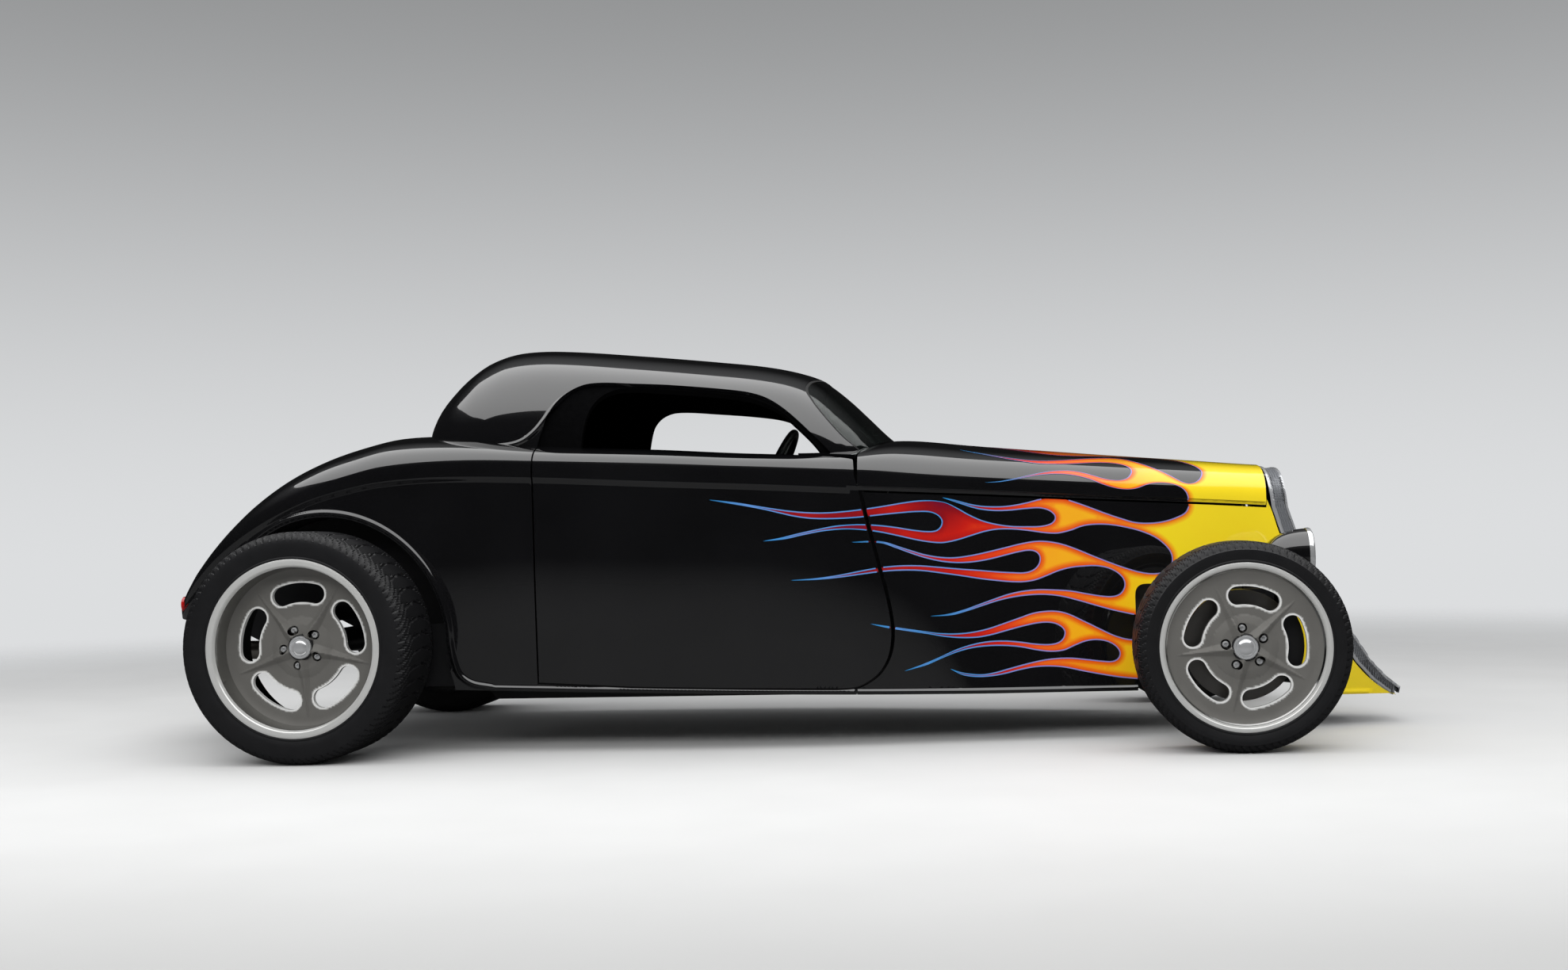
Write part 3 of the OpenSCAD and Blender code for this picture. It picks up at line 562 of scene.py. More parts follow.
lining_line = smooth([(-688, 830), (-690, 600), (-690, 240), (-680, 228), (-400, 222), (0, 214), (250, 208),
                      (330, 240),
                      (374, 300), (378, 378), (362, 464), (330, 599), (304, 710), (288, 780), (280, 790)], 12)
lining_ring = np.vstack([on_side(lining_line), straight([(276, -(QUARTER + 10)), (-686, -(QUARTER + 10))])])
for side, sign in (("right", 1), ("left", -1)):
    body_name = "door_" + side
    skin = sheet_metal(body_name + "_skin", body, [door_ring(0, 0, 590) * (1, sign)], [], body_points,
                       thick=8)
    dress(skin, GLOSS_BLACK, body_name, (body_name,))
    lining = sheet_metal(body_name + "_lining", inset_body(9), [lining_ring * (1, sign)], [], body_points,
                         thick=50)
    dress(lining, LINING, body_name)

# ---- Hood ----------------------------------------------------------------------------------
# The hood top is one steel pressing between the cowl and the grille, hinged at its front edge.
# A half-round bead runs along its lower edges.
hood = sheet_metal("hood_skin", body, [hood_ring()], [], body_points, thick=10)
dress(hood, GLOSS_BLACK, "hood", ("hood_top",))

# ---- Boot lid ------------------------------------------------------------------------------
# A steel lid over the boot, hinged at its front edge behind the hardtop.
deck = sheet_metal("deck_lid_skin", body, [deck_ring(0)], [], body_points, thick=10)
dress(deck, GLOSS_BLACK, "deck_lid", ("deck_lid",))

# ---- Flames --------------------------------------------------------------------------------
# Traditional licks sprayed over the black: yellow at the nose, through orange to red at the
# tips, with a hand-pulled blue pinstripe round every edge. Each coat is its own thin film.
PAINT_LIFT, STRIPE_LIFT, STRIPE_HALF = 0.7, 1.1, 1.9  # millimetres
# One line from the top of the nose, along each lick and round each bay, down to the sill
SIDE_LICKS = [
    (1362, 745), (1363, 728), (1352, 708), (1325, 694), (1285, 682), (1240, 677), (1190, 680), (1140, 695),
    (1090, 713), (1040, 733), (1000, 748), (965, 759), (930, 763), (890, 761), (845, 751), (800, 743),
    (755, 740), (700, 743), (660, 751), (620, 763), (580, 773), None,
    (640, 752), (690, 736), (740, 729), (790, 729), (840, 733), (885, 734), (915, 725), (932, 709),
    (932, 695), (918, 682), (885, 675), (840, 675), (795, 677), (745, 685), (700, 698), (660, 717),
    (625, 738), (590, 756), (555, 763), (510, 764), (460, 759), (400, 750), (340, 742), (280, 736),
    (220, 733), (160, 735), (100, 742), (30, 754), (-50, 769), (-138, 782), None,
    (-50, 766), (30, 749), (80, 736), (130, 724), (180, 717), (240, 715), (310, 717), (380, 723), (440, 728),
    (495, 731), (540, 729), (566, 717), (577, 700), (573, 682), (560, 670), (535, 667), (490, 672),
    (430, 683), (370, 691), (310, 694), (250, 691), (190, 681), (130, 669), (80, 658), (25, 650), None,
    (90, 656), (150, 668), (210, 678), (270, 682), (325, 679), (380, 671), (440, 657), (500, 642),
    (545, 634), (580, 632), (625, 640), (670, 653), (710, 664), (750, 670), (800, 669), (850, 663),
    (900, 655), (940, 653), (980, 661), (1020, 674), (1060, 678), (1105, 676), (1155, 667), (1205, 653),
    (1250, 633), (1283, 607), (1302, 580), (1305, 552), (1294, 531), (1275, 519), (1245, 515), (1205, 520),
    (1155, 535), (1100, 556), (1050, 577), (1000, 599), (955, 616), (910, 626), (870, 628), (825, 622),
    (770, 610), (715, 598), (660, 588), (610, 583), (565, 586), (520, 595), (480, 608), (440, 622),
    (400, 636), (360, 641), (298, 640), None,
    (385, 637), (430, 621), (475, 603), (520, 587), (570, 574), (620, 568), (670, 569), (720, 576),
    (770, 587), (815, 597), (850, 601), (872, 594), (882, 578), (878, 556), (862, 539), (835, 530),
    (795, 531), (745, 535), (690, 541), (620, 548), (560, 555), (500, 561), (440, 562), (380, 558),
    (320, 549), (250, 537), (180, 529), (108, 526), None,
    (190, 528), (260, 533), (330, 541), (390, 547), (450, 549), (510, 546), (570, 537), (630, 527),
    (690, 516), (745, 508), (790, 503), (830, 502), (865, 507), (900, 519), (940, 534), (980, 543),
    (1020, 546), (1060, 546), (1098, 538), (1128, 522), (1146, 502), (1150, 480), (1138, 457), (1115, 447),
    (1080, 448), (1030, 457), (975, 468), (920, 473), (870, 475), (820, 471), (775, 462), (730, 448),
    (685, 433), (640, 418), (590, 406), (535, 402), None,
    (600, 405), (650, 417), (700, 432), (745, 445), (795, 455), (845, 460), (895, 460), (945, 453),
    (1000, 438), (1060, 419), (1110, 404), (1150, 394), (1184, 387), (1260, 384), (1275, 360), (1262, 332),
    (1230, 312), (1188, 306), (1150, 310), (1110, 323), (1060, 348), (1010, 374), (965, 396), (930, 405),
    (895, 406), (855, 401), (810, 387), (760, 371), (710, 356), (660, 347), (610, 344), (560, 347),
    (510, 355), (450, 365), (400, 374), (348, 384), None,
    (400, 371), (460, 360), (520, 349), (575, 338), (630, 332), (680, 332), (725, 339), (770, 350),
    (820, 362), (870, 371), (910, 371), (938, 361), (954, 343), (951, 322), (935, 307), (905, 301),
    (860, 304), (810, 312), (760, 317), (710, 316), (660, 308), (610, 293), (560, 272), (510, 252),
    (450, 233), None,
    (520, 252), (570, 272), (620, 290), (665, 300), (715, 304), (765, 303), (815, 297), (865, 286),
    (910, 280), (950, 283), (985, 297), (1020, 309), (1055, 312), (1090, 305), (1117, 288), (1128, 268),
    (1122, 250), (1103, 241), (1070, 243), (1020, 250), (970, 256), (920, 256), (875, 251), (825, 241),
    (775, 229), (730, 218), (690, 213), (650, 217), (620, 224), (592, 235), None,
    (630, 216), (670, 209), (715, 209), (760, 215), (810, 226), (855, 233), (900, 234), (950, 229),
    (1010, 215), (1070, 202), (1130, 191), (1200, 183), (1270, 180), (1330, 184),
]
# The same on the hood's right half: x, and up from the belt on the sections' scale
HOOD_LICKS = [
    (1360, -11), (1358, 40), (1352, 95), (1338, 145), (1312, 182), (1280, 193), (1250, 184), (1224, 158),
    (1200, 120), (1180, 99), (1158, 92), (1135, 98), (1108, 117), (1078, 150), (1048, 190), (1018, 216),
    (985, 232), (955, 235), (920, 228), (885, 210), (850, 184), (815, 154), (780, 126), (748, 106),
    (712, 97), None,
    (748, 110), (780, 132), (815, 163), (850, 197), (885, 230), (920, 257), (955, 273), (990, 277),
    (1022, 264), (1055, 238), (1085, 212), (1112, 197), (1140, 198), (1162, 222), (1175, 265), (1181, 315),
    (1176, 362), (1160, 397), (1135, 417), (1105, 421), (1070, 411), (1030, 391), (985, 369), (940, 354),
    (895, 346), (850, 353), (805, 371), (760, 394), (715, 421), (675, 446), (635, 472), None,
    (680, 448), (720, 427), (765, 406), (810, 390), (855, 381), (900, 386), (945, 405), (990, 433),
    (1035, 467), (1080, 500), (1115, 521), (1145, 524), (1172, 508), (1198, 472), (1228, 424), (1262, 368),
    (1292, 315), (1322, 254), (1344, 214), (1362, 200), (1380, 212), (1396, 248), (1407, 305), (1411, 365),
    (1404, 420), (1390, 470), (1368, 525), (1345, 580), (1318, 625), (1280, 648), (1235, 640), (1180, 612),
    (1120, 578), (1060, 545), (1005, 520), (955, 509), (905, 519), (855, 546), (800, 586), (740, 628),
    (680, 662), (615, 692), None,
    (680, 676), (740, 655), (800, 640), (850, 650), (888, 680), (905, 715), (895, 748), (865, 766),
    (815, 768), (760, 760), (700, 754), (640, 762), (575, 784), None,
    (640, 775), (700, 773), (760, 786), (820, 808), (890, 826), (960, 832), (1030, 826), (1100, 818),
    (1160, 824), (1192, 850), (1205, 899),
]


def lick_line(points, step=6.0):
    """The edge of the flames, pointed at each None, and the places of those points."""
    runs, run = [], []
    for point in points:
        if point is None:
            runs.append(run)
            run = [run[-1]]
        else:
            run.append(point)
    runs.append(run)
    tips = np.array([r[-1] for r in runs[:-1]], float)
    return np.vstack([smooth(r, step)[:-1] for r in runs] + [[runs[-1][-1]]]), tips


def near_any(points, others):
    tree = KDTree(len(others))
    for i, (u, v) in enumerate(others):
        tree.insert((u, v, 0), i)
    tree.balance()
    return np.array([tree.find((u, v, 0))[2] for u, v in points])


def film_points(edge):
    """Close points just inside a painted edge, so that its soft shading has somewhere to sit."""
    along = np.gradient(edge, axis=0)
    across = np.stack([-along[:, 1], along[:, 0]], axis=-1) / np.maximum(np.hypot(*along.T), 1e-6)[:, None]
    return np.vstack([edge + across * gap * side for gap in (4, 9, 16, 26) for side in (-1, 1)])


FLAME_PAINT = bpy.data.materials.new("flame_paint")
FLAME_PAINT.use_nodes = True
shader = FLAME_PAINT.node_tree.nodes["Principled BSDF"]
start = Wire(FLAME_PAINT.node_tree)
edge_gap = start.node("Attribute", {"attribute_name": "from_edge"}, out="Fac")
heat = start.node("Attribute", {"attribute_name": "warmth"}, out="Fac")
cloud = start.node("TexNoise", {},
                   {"Vector": start.node("TexCoord", out="Object"), "Scale": 9.0, "Detail": 4.0})
mist = start.node("TexNoise", {},
                  {"Vector": start.node("TexCoord", out="Object"), "Scale": 700.0, "Detail": 2.0})
core = (edge_gap / 22.0).limited() ** 0.75
warmth = heat * (0.60 + 0.40 * core) + (cloud - 0.5) * 0.06 + (mist - 0.5) * 0.05
colour = warmth.node("ValToRGB", {"stops": [
    (0.0, (0.10, 0.002, 0.03)), (0.20, (0.26, 0.002, 0.006)), (0.40, (0.56, 0.008, 0.002)),
    (0.56, (0.76, 0.05, 0.004)),
    (0.72, (0.88, 0.17, 0.006)), (0.85, (0.96, 0.42, 0.008)), (1.0, (0.98, 0.74, 0.012))]},
    {"Fac": warmth.limited()})
FLAME_PAINT.node_tree.links.new(colour.socket, shader.inputs["Base Color"])
shader.inputs["Roughness"].default_value = 0.25
shader.inputs["Coat Weight"].default_value = 1.0
shader.inputs["Coat Roughness"].default_value = 0.02

PINSTRIPE = bpy.data.materials.new("pinstripe_paint")
PINSTRIPE.use_nodes = True
shader = PINSTRIPE.node_tree.nodes["Principled BSDF"]
start = Wire(PINSTRIPE.node_tree)
tip_gap = start.node("Attribute", {"attribute_name": "from_tip"}, out="Fac")
brush = start.node("TexNoise", {},
                   {"Vector": start.node("TexCoord", out="Object"), "Scale": 60.0, "Detail": 3.0})
tip = (1 - tip_gap / 320.0 + (brush - 0.5) * 0.3).limited()
stripe = tip.mixed((0.26, 0.24, 0.56, 1), (0.015, 0.26, 0.62, 1))
PINSTRIPE.node_tree.links.new(stripe.socket, shader.inputs["Base Color"])
shader.inputs["Roughness"].default_value = 0.3
shader.inputs["Coat Weight"].default_value = 1.0
shader.inputs["Coat Roughness"].default_value = 0.02


def heat_of(spots, tips, tone):
    """0 at a lick's point, rising to 1 at the nose."""
    ahead = spots[:, 0]
    rise = np.clip(near_any(spots, tips) / 300.0, 0, 1) ** 0.7
    return np.clip(rise * tone(ahead), 0, 1)


def pinstripe(name, edge, tips, region, cuts, body_name, sign):
    """A ribbon of paint that follows an edge, with pointed ends."""
    along = np.gradient(edge, axis=0)
    across = np.stack([-along[:, 1], along[:, 0]], axis=-1) / np.maximum(np.hypot(*along.T), 1e-6)[:, None]
    tip_gap = near_any(edge, tips)
    half = STRIPE_HALF * np.clip(0.35 + tip_gap / 110.0, 0, 1)[:, None]
    sides = [edge - across * half, edge + across * half]
    fits = inside(region, edge)
    for side in sides:
        fits &= inside(region, side)
        for cut in cuts:
            fits &= ~inside(cut, side)
    spots = np.stack(sides, axis=1).reshape(-1, 2) * (1, sign)
    where = body(spots[:, 0], spots[:, 1]) + slope_of(body, spots[:, 0], spots[:, 1]) * STRIPE_LIFT
    faces = [(2 * i, 2 * i + 2, 2 * i + 3, 2 * i + 1) for i in range(len(edge) - 1) if fits[i]
             and fits[i + 1]]
    mesh = bpy.data.meshes.new(name)
    mesh.from_pydata((where / 1000).tolist(), [], faces)
    layer = mesh.attributes.new("from_tip", "FLOAT", "POINT")
    layer.data.foreach_set("value", np.repeat(tip_gap, 2))
    piece = bpy.data.objects.new(name, mesh)
    bpy.context.scene.collection.objects.link(piece)
    turn_outward(piece)
    mesh.polygons.foreach_set("use_smooth", np.ones(len(mesh.polygons), bool))
    dress(piece, PINSTRIPE, body_name)


def turn_outward(piece):
    """Turns each face of a film, and of its loose points, to look away from the car's middle."""
    mesh = bmesh.new()
    mesh.from_mesh(piece.data)
    bmesh.ops.delete(mesh, geom=[v for v in mesh.verts if not v.link_faces], context="VERTS")
    wrong = [f for f in mesh.faces if f.normal.y * f.calc_center_median().y + f.normal.z * 0.4 < 0]
    bmesh.ops.reverse_faces(mesh, faces=wrong)
    mesh.to_mesh(piece.data)
    mesh.free()


side_edge, side_tips = lick_line(SIDE_LICKS)
side_flame = np.vstack([side_edge, straight([(1330, 184), (1340, 50), (2100, 50), (2100, 800), (1362, 800),
                                             (1362, 746)], 40)])
side_edge, side_tips = on_side(side_edge), on_side(side_tips)
side_flame = on_side(side_flame)


def side_tone(x):
    """How warm the side's paint is at each station."""
    return np.interp(x, (100, 450, 700, 1000, 1130, 1220, 1300), (0.50, 0.66, 0.82, 0.86, 0.90, 0.96, 1.12))


film_spots = np.vstack([body_points, film_points(side_edge)])
for side, sign in (("right", 1), ("left", -1)):
    for body_name, part, ring, cuts in (("body", "side", side_ring, side_cuts),
                                        ("door_" + side, "door", door_ring(-1.5, -1.5, 590), [])):
        low = ring.mean(0) + (ring - ring.mean(0)) * 0.9985
        keep = [side_flame * (1, sign), low * (1, sign)]
        film = sheet_metal(
            "flames_" + part + "_" + side, body, keep, [c * (1, sign) for c in cuts], film_spots * (1, sign),
            thick=0, lift=PAINT_LIFT, near=2.0,
            values={"from_edge": lambda spots: near_any(spots * (1, sign), side_edge),
                    "warmth": lambda spots: heat_of(spots * (1, sign), side_tips, side_tone)})
        dress(film, FLAME_PAINT, body_name)
        pinstripe("pinstripe_" + part + "_" + side, side_edge, side_tips, low, cuts, body_name, sign)

hood_edge, hood_tips = lick_line(HOOD_LICKS)
hood_edge[:, 1] -= QUARTER
hood_tips[:, 1] -= QUARTER
hood_flame = mirrored(np.vstack([[(1700, 0), (1700, -1000), (1360, -1000)], hood_edge, [(1205, 0)]]))
both = np.vstack([hood_edge, hood_edge * (1, -1)])
both_tips = np.vstack([hood_tips, hood_tips * (1, -1)])


def hood_tone(x):
    """How warm the hood's paint is at each station."""
    return np.interp(x, (700, 950, 1100, 1200, 1300, 1380), (0.5, 0.68, 0.80, 0.88, 0.95, 1.12))


hood_low = hood_ring(-1.5)
film = sheet_metal("flames_hood", body, [hood_flame, hood_low], [],
                   np.vstack([body_points, film_points(hood_edge), film_points(hood_edge) * (1, -1)]),
                   thick=0, lift=PAINT_LIFT, near=2.0,
                   values={"from_edge": lambda spots: near_any(spots, both),
                           "warmth": lambda spots: heat_of(spots, both_tips, hood_tone)})
dress(film, FLAME_PAINT, "hood")
for side, sign in (("right", 1), ("left", -1)):
    pinstripe("pinstripe_hood_" + side, hood_edge, hood_tips, hood_low, [], "hood", sign)

# ---- Hardtop -------------------------------------------------------------------------------
# A one-piece steel roof with window and windshield openings, lined in black cloth and bolted
# to the body. A moulding stands up round its foot and over the quarter.
# x, top height, half width at the foot, foot height, squareness
CAB = np.array([
    (-1146, 1030, 180, 1022, 2.2), (-1137, 1062, 290, 1000, 2.3), (-1112, 1108, 392, 975, 2.4),
    (-1080, 1160, 456, 960, 2.5), (-1038, 1210, 500, 950, 2.5), (-990, 1254, 534, 945, 2.5),
    (-926, 1292, 560, 940, 2.6), (-836, 1315, 582, 933, 2.7), (-697, 1315, 596, 928, 2.8),
    (-421, 1289, 604, 918, 2.8), (-148, 1258, 602, 905, 2.8), (0, 1238, 596, 895, 2.8),
    (110, 1213, 582, 890, 2.8), (190, 1182, 560, 886, 2.7), (262, 1126, 532, 884, 2.6),
    (330, 1060, 488, 886, 2.5), (392, 998, 400, 896, 2.4), (434, 964, 262, 905, 2.3),
    (452, 954, 100, 915, 2.2),
])
CAB_TOP, CAB_HALF, CAB_FOOT, CAB_SQUARE = range(1, 5)


def plain_cab(x, t, inset=0.0):
    """A point of the roof: t is 0 on its middle line and 900 at its foot, below 0 on the right."""
    x, t = np.broadcast_arrays(np.asarray(x, float), np.asarray(t, float))
    across, up = bend_of(np.radians(90) * np.minimum(np.abs(t), QUARTER) / QUARTER, curve(CAB, x, CAB_SQUARE))
    foot, top = curve(CAB, x, CAB_FOOT), curve(CAB, x, CAB_TOP) - inset
    y = (curve(CAB, x, CAB_HALF) - inset) * across
    return np.stack([x, np.sign(t) * y, foot + (top - foot) * up - np.maximum(np.abs(t) - QUARTER, 0)],
                    axis=-1)


def cab_t(x, z):
    x, z = np.asarray(x, float), np.asarray(z, float)
    foot, square = curve(CAB, x, CAB_FOOT), curve(CAB, x, CAB_SQUARE)
    up = np.clip((z - foot) / (curve(CAB, x, CAB_TOP) - foot), 0, 1)
    low = np.maximum(foot - z, 0)
    return -(QUARTER * np.arctan2((1 - up ** square) ** (1 / square), up) / np.radians(90) + low)


def on_cab(points):
    points = np.asarray(points, float)
    return np.stack([points[:, 0], cab_t(points[:, 0], points[:, 1])], axis=-1)


moulding = on_cab(smooth([(-1120, 1016), (-1080, 1006), (-1014, 990), (-910, 974), (-806, 974), (-750, 986),
                          (-706, 1016),
                          (-674, 1053), (-647, 1092), (-610, 1128), (-570, 1150)], 8))


def cab_swell(x, t):
    shape = x.shape
    spots = np.stack([x.ravel(), -np.abs(t.ravel())], axis=-1)
    high = rounded(away_from(moulding, spots), 13, 7) * np.clip((-590 - spots[:, 0]) / 60, 0, 1)
    return high.reshape(shape)


def cab(x, t):
    x = np.clip(x, -1145.4, 451.4)
    return plain_cab(x, t) + slope_of(plain_cab, x, t) * cab_swell(x, t)[..., None]


SIDE_WINDOW = [(-712, 880), (-705, 947), (-685, 1015), (-658, 1077), (-618, 1130), (-565, 1162), (-508, 1170),
               (-400, 1164), (-271, 1155), (-68, 1132), (0, 1117), (50, 1094), (106, 1052), (180, 980),
               (262, 890),
               (272, 870)]
INNER_WINDOW = [(-566, 870), (-560, 960), (-548, 1040), (-528, 1098), (-490, 1140), (-430, 1160),
                (-271, 1150),
                (-90, 1130), (-10, 1112), (70, 1072), (140, 1005), (190, 946), (236, 870)]
window_ring = on_cab(smooth(SIDE_WINDOW, 8))
inner_ring = on_cab(smooth(INNER_WINDOW, 8))
pillar = on_cab(smooth([(345, 820), (336, 906), (262, 980), (190, 1066), (152, 1120)], 8))
header = smooth([pillar[-1], (146, -430), (151, -364), (166, -280), (178, -190), (186, -90), (188, 0)], 8)
screen_edge = np.vstack([pillar, header[1:]])
screen_ring = np.vstack([screen_edge, (screen_edge * (1, -1))[::-1][1:], [(700, 1000), (700, -1000)]])


def rear_glass_ring(grow):
    """A rounded slot across the back of the roof."""
    half_w, half_h, corner = 250 + grow, 33 + grow, 26
    places = []
    for cy, cz, first in ((half_w, half_h, 0), (-half_w, half_h, 90), (-half_w, -half_h, 180),
                          (half_w, -half_h, 270)):
        for angle in np.radians(np.arange(first, first + 91, 15)):
            places.append((cy + corner * math.cos(angle), 1178 + cz + corner * math.sin(angle)))
    ring = []
    for y, z in straight(places + places[:1], 12)[:-1]:
        low, high = -1144.0, -900.0
        for _ in range(26):
            x = (low + high) / 2
            square = float(curve(CAB, x, CAB_SQUARE))
            across = min(abs(y) / float(curve(CAB, x, CAB_HALF)), 1)
            foot, top = float(curve(CAB, x, CAB_FOOT)), float(curve(CAB, x, CAB_TOP))
            up = (1 - across ** square) ** (1 / square)
            low, high = (x, high) if foot + (top - foot) * up < z else (low, x)
        ring.append((x, math.copysign(QUARTER * math.atan2(across, up) / math.radians(90), y)))
    return np.array(ring)


cab_columns = np.concatenate([-1145.4 + np.array([0, 1.2, 3, 6, 10, 15, 21, 28, 36, 45, 56, 68, 82]),
                              np.arange(-1048, 440, 16.0), [440, 446, 450, 451.4]])
grid_x, grid_t = np.meshgrid(cab_columns, np.arange(-912, 913, 12.0))
cab_points = np.stack([grid_x.ravel(), grid_t.ravel()], axis=-1)
cab_points = cab_points[away_from(moulding,
                                  np.stack([cab_points[:, 0], -np.abs(cab_points[:, 1])], -1)) > 15.5]
spots = moulding
along = np.gradient(spots, axis=0)
across = np.stack([-along[:, 1], along[:, 0]], axis=-1) / np.hypot(*along.T)[:, None]
for share in (-1.1, -1, -0.92, -0.75, -0.45, 0, 0.45, 0.75, 0.92, 1, 1.1):
    cab_points = np.vstack([cab_points, spots + across * 13 * share, (spots + across * 13 * share) * (1, -1)])
whole_roof = straight([(-1145.4, -914), (346, -914), (346, 914), (-1145.4, 914), (-1145.4, -914)], 16)[:-1]
openings = [window_ring, window_ring * (1, -1), screen_ring, rear_glass_ring(0)]
roof = sheet_metal("hardtop_shell", cab, [whole_roof], openings, cab_points, thick=14)
dress(roof, GLOSS_BLACK, "body", ("hardtop",))


def inner_cab(x, t):
    return plain_cab(x, t, 15.5)


# Black cloth, its colour deepened past the cloth's own black and its shine turned almost off: painted shade
# for the dark inside of the roof.
HEADLINER_PAINTED_SHADE = finish("black_headliner_cloth_painted_shade", (0.0018, 0.0018, 0.002), 0.95, vary=0.35, grain=60, bump=0.0008,
                   bump_grain=900, settings={"Specular IOR Level": 0.02})
lining_keep = straight([(-1090, -890), (300, -890), (300, 890), (-1090, 890), (-1090, -890)], 16)[:-1]
liner = sheet_metal("hardtop_lining", inner_cab, [lining_keep],
                    [inner_ring, inner_ring * (1, -1), screen_ring + (-8, 0), rear_glass_ring(4)], cab_points,
                    thick=20)
dress(liner, HEADLINER_PAINTED_SHADE, "body")

# ---- Glass ---------------------------------------------------------------------------------
# Laminated windshield and toughened rear glass; the windshield is bonded in with a black rubber edge.
GLASS = bpy.data.materials.new("tinted_glass")
GLASS.use_nodes = True
shader = GLASS.node_tree.nodes["Principled BSDF"]
start = Wire(GLASS.node_tree)
haze = start.node("TexNoise", {}, {"Vector": start.node("TexCoord", out="Object"), "Scale": 6.0})
GLASS.node_tree.links.new((haze * 0.03 + 0.01).socket, shader.inputs["Roughness"])
GLASS.node_tree.links.new(haze.mixed((0.60, 0.68, 0.65, 1), (0.64, 0.71, 0.68, 1)).socket,
                          shader.inputs["Base Color"])
shader.inputs["Transmission Weight"].default_value = 1.0
shader.inputs["IOR"].default_value = 1.45
RUBBER = finish("black_rubber", (0.012, 0.012, 0.012), 0.55, vary=0.25, grain=30)
glass_keep = np.vstack([screen_edge + (5, 0), ((screen_edge + (5, 0)) * (1, -1))[::-1][1:],
                        straight([(350, 905), (400, 905), (440, 900), (446, 700), (446, -700), (440, -900),
                                  (400, -905), (350, -905)], 16)])
windshield = sheet_metal("windshield_glass", plain_cab, [glass_keep], [], cab_points, thick=6, lift=-3)
dress(windshield, GLASS, "body", ("windshield",))
seal_edge = np.vstack([screen_edge, ((screen_edge) * (1, -1))[::-1][1:]])
seal_keep = np.vstack([seal_edge + (0.5, 0), (seal_edge + (9, 0))[::-1]])
seal = sheet_metal("windshield_seal", plain_cab, [seal_keep], [], cab_points, thick=9, lift=-1.0)
dress(seal, RUBBER, "body")
back_glass = sheet_metal("rear_window_glass", plain_cab, [rear_glass_ring(-3)], [], cab_points, thick=6,
                         lift=-3)
dress(back_glass, GLASS, "body", ("rear_window",))

# ---- Wheels --------------------------------------------------------------------------------
# Each wheel is one casting with five kidney slots and five star ribs, in a grey cast finish
# with machined slot edges. A polished barrel and lip run round it. Five nuts sit in recesses.
CAST_GREY = bpy.data.materials.new("grey_cast_alloy")
CAST_GREY.use_nodes = True
shader = CAST_GREY.node_tree.nodes["Principled BSDF"]
start = Wire(CAST_GREY.node_tree)
cut_edge = start.node("Attribute", {"attribute_name": "machined"}, out="Fac")
where = start.node("TexCoord", out="Object")
sand = start.node("TexNoise", {}, {"Vector": where, "Scale": 900.0, "Detail": 2.0})
drift = start.node("TexNoise", {}, {"Vector": where, "Scale": 14.0, "Detail": 4.0})
grey = drift.mixed((0.145, 0.14, 0.13, 1), (0.185, 0.18, 0.167, 1))
links = CAST_GREY.node_tree.links
links.new(cut_edge.mixed(grey, (0.88, 0.88, 0.86, 1)).socket, shader.inputs["Base Color"])
links.new((0.50 - cut_edge * 0.30 + (drift - 0.5) * 0.1).socket, shader.inputs["Roughness"])
links.new((0.30 - cut_edge * 0.05).socket, shader.inputs["Metallic"])
links.new(start.node("Bump", {}, {"Height": sand, "Distance": 0.0004, "Strength": 0.5}).socket,
          shader.inputs["Normal"])
POLISHED = finish("polished_alloy", (0.84, 0.84, 0.82), 0.20, metal=0.55, vary=0.05, grain=25, spread=0.04)
BARREL = finish("machined_barrel", (0.50, 0.50, 0.49), 0.14, metal=1.0, vary=0.1, grain=25, spread=0.03)
# The plate is only partly metallic, so a pale diffuse part lights up under the front lamp: painted sheen in
# place of the plate's bright reflections.
CHROME_PAINTED_SHEEN = finish("chrome_plate_painted_sheen", (0.86, 0.87, 0.88), 0.08, metal=0.72, vary=0.03, grain=12, spread=0.02)
# Painted shadow black: it colours the hub behind the nut recesses and the grille bars behind the slats, so
# that both read as dark shade.
SHADOW_BLACK = finish("dark_recess", (0.01, 0.01, 0.01), 0.6, vary=0.3, grain=40)
TYRE_RUBBER = finish("tyre_rubber", (0.0085, 0.0085, 0.0095), 0.46, vary=0.25, grain=22, bump=0.0003,
                     bump_grain=700)


def turned(name, place, profile, sides=96, closed=True, angle=35):
    """A piece turned about the y axis: profile is (distance along y, radius) in millimetres."""
    x, z = place[0] / 1000, place[1] / 1000
    profile = [(y / 1000, r / 1000) for y, r in profile]
    y, r = profile[0]
    bpy.ops.object.select_all(action="DESELECT")
    bpy.ops.mesh.primitive_circle_add(vertices=sides, radius=r, location=(x, y, z),
                                      rotation=(math.pi / 2, 0, 0))
    piece = bpy.context.object
    piece.name = piece.data.name = name
    bpy.ops.object.transform_apply()
    bpy.ops.object.mode_set(mode="EDIT")
    bpy.ops.mesh.select_all(action="SELECT")
    for next_y, next_r in profile[1:] + (profile[:1] if closed else []):
        bpy.ops.mesh.extrude_edges_move(TRANSFORM_OT_translate={"value": (0, next_y - y, 0)})
        if next_r != r:
            bpy.ops.transform.resize(value=(next_r / r, 1, next_r / r), center_override=(x, next_y, z))
        y, r = next_y, next_r
    bpy.ops.mesh.select_all(action="SELECT")
    bpy.ops.mesh.remove_doubles(threshold=0.00002)
    bpy.ops.mesh.normals_make_consistent(inside=False)
    bpy.ops.object.mode_set(mode="OBJECT")
    bpy.ops.object.shade_smooth_by_angle(angle=math.radians(angle))
    piece.select_set(False)
    return piece


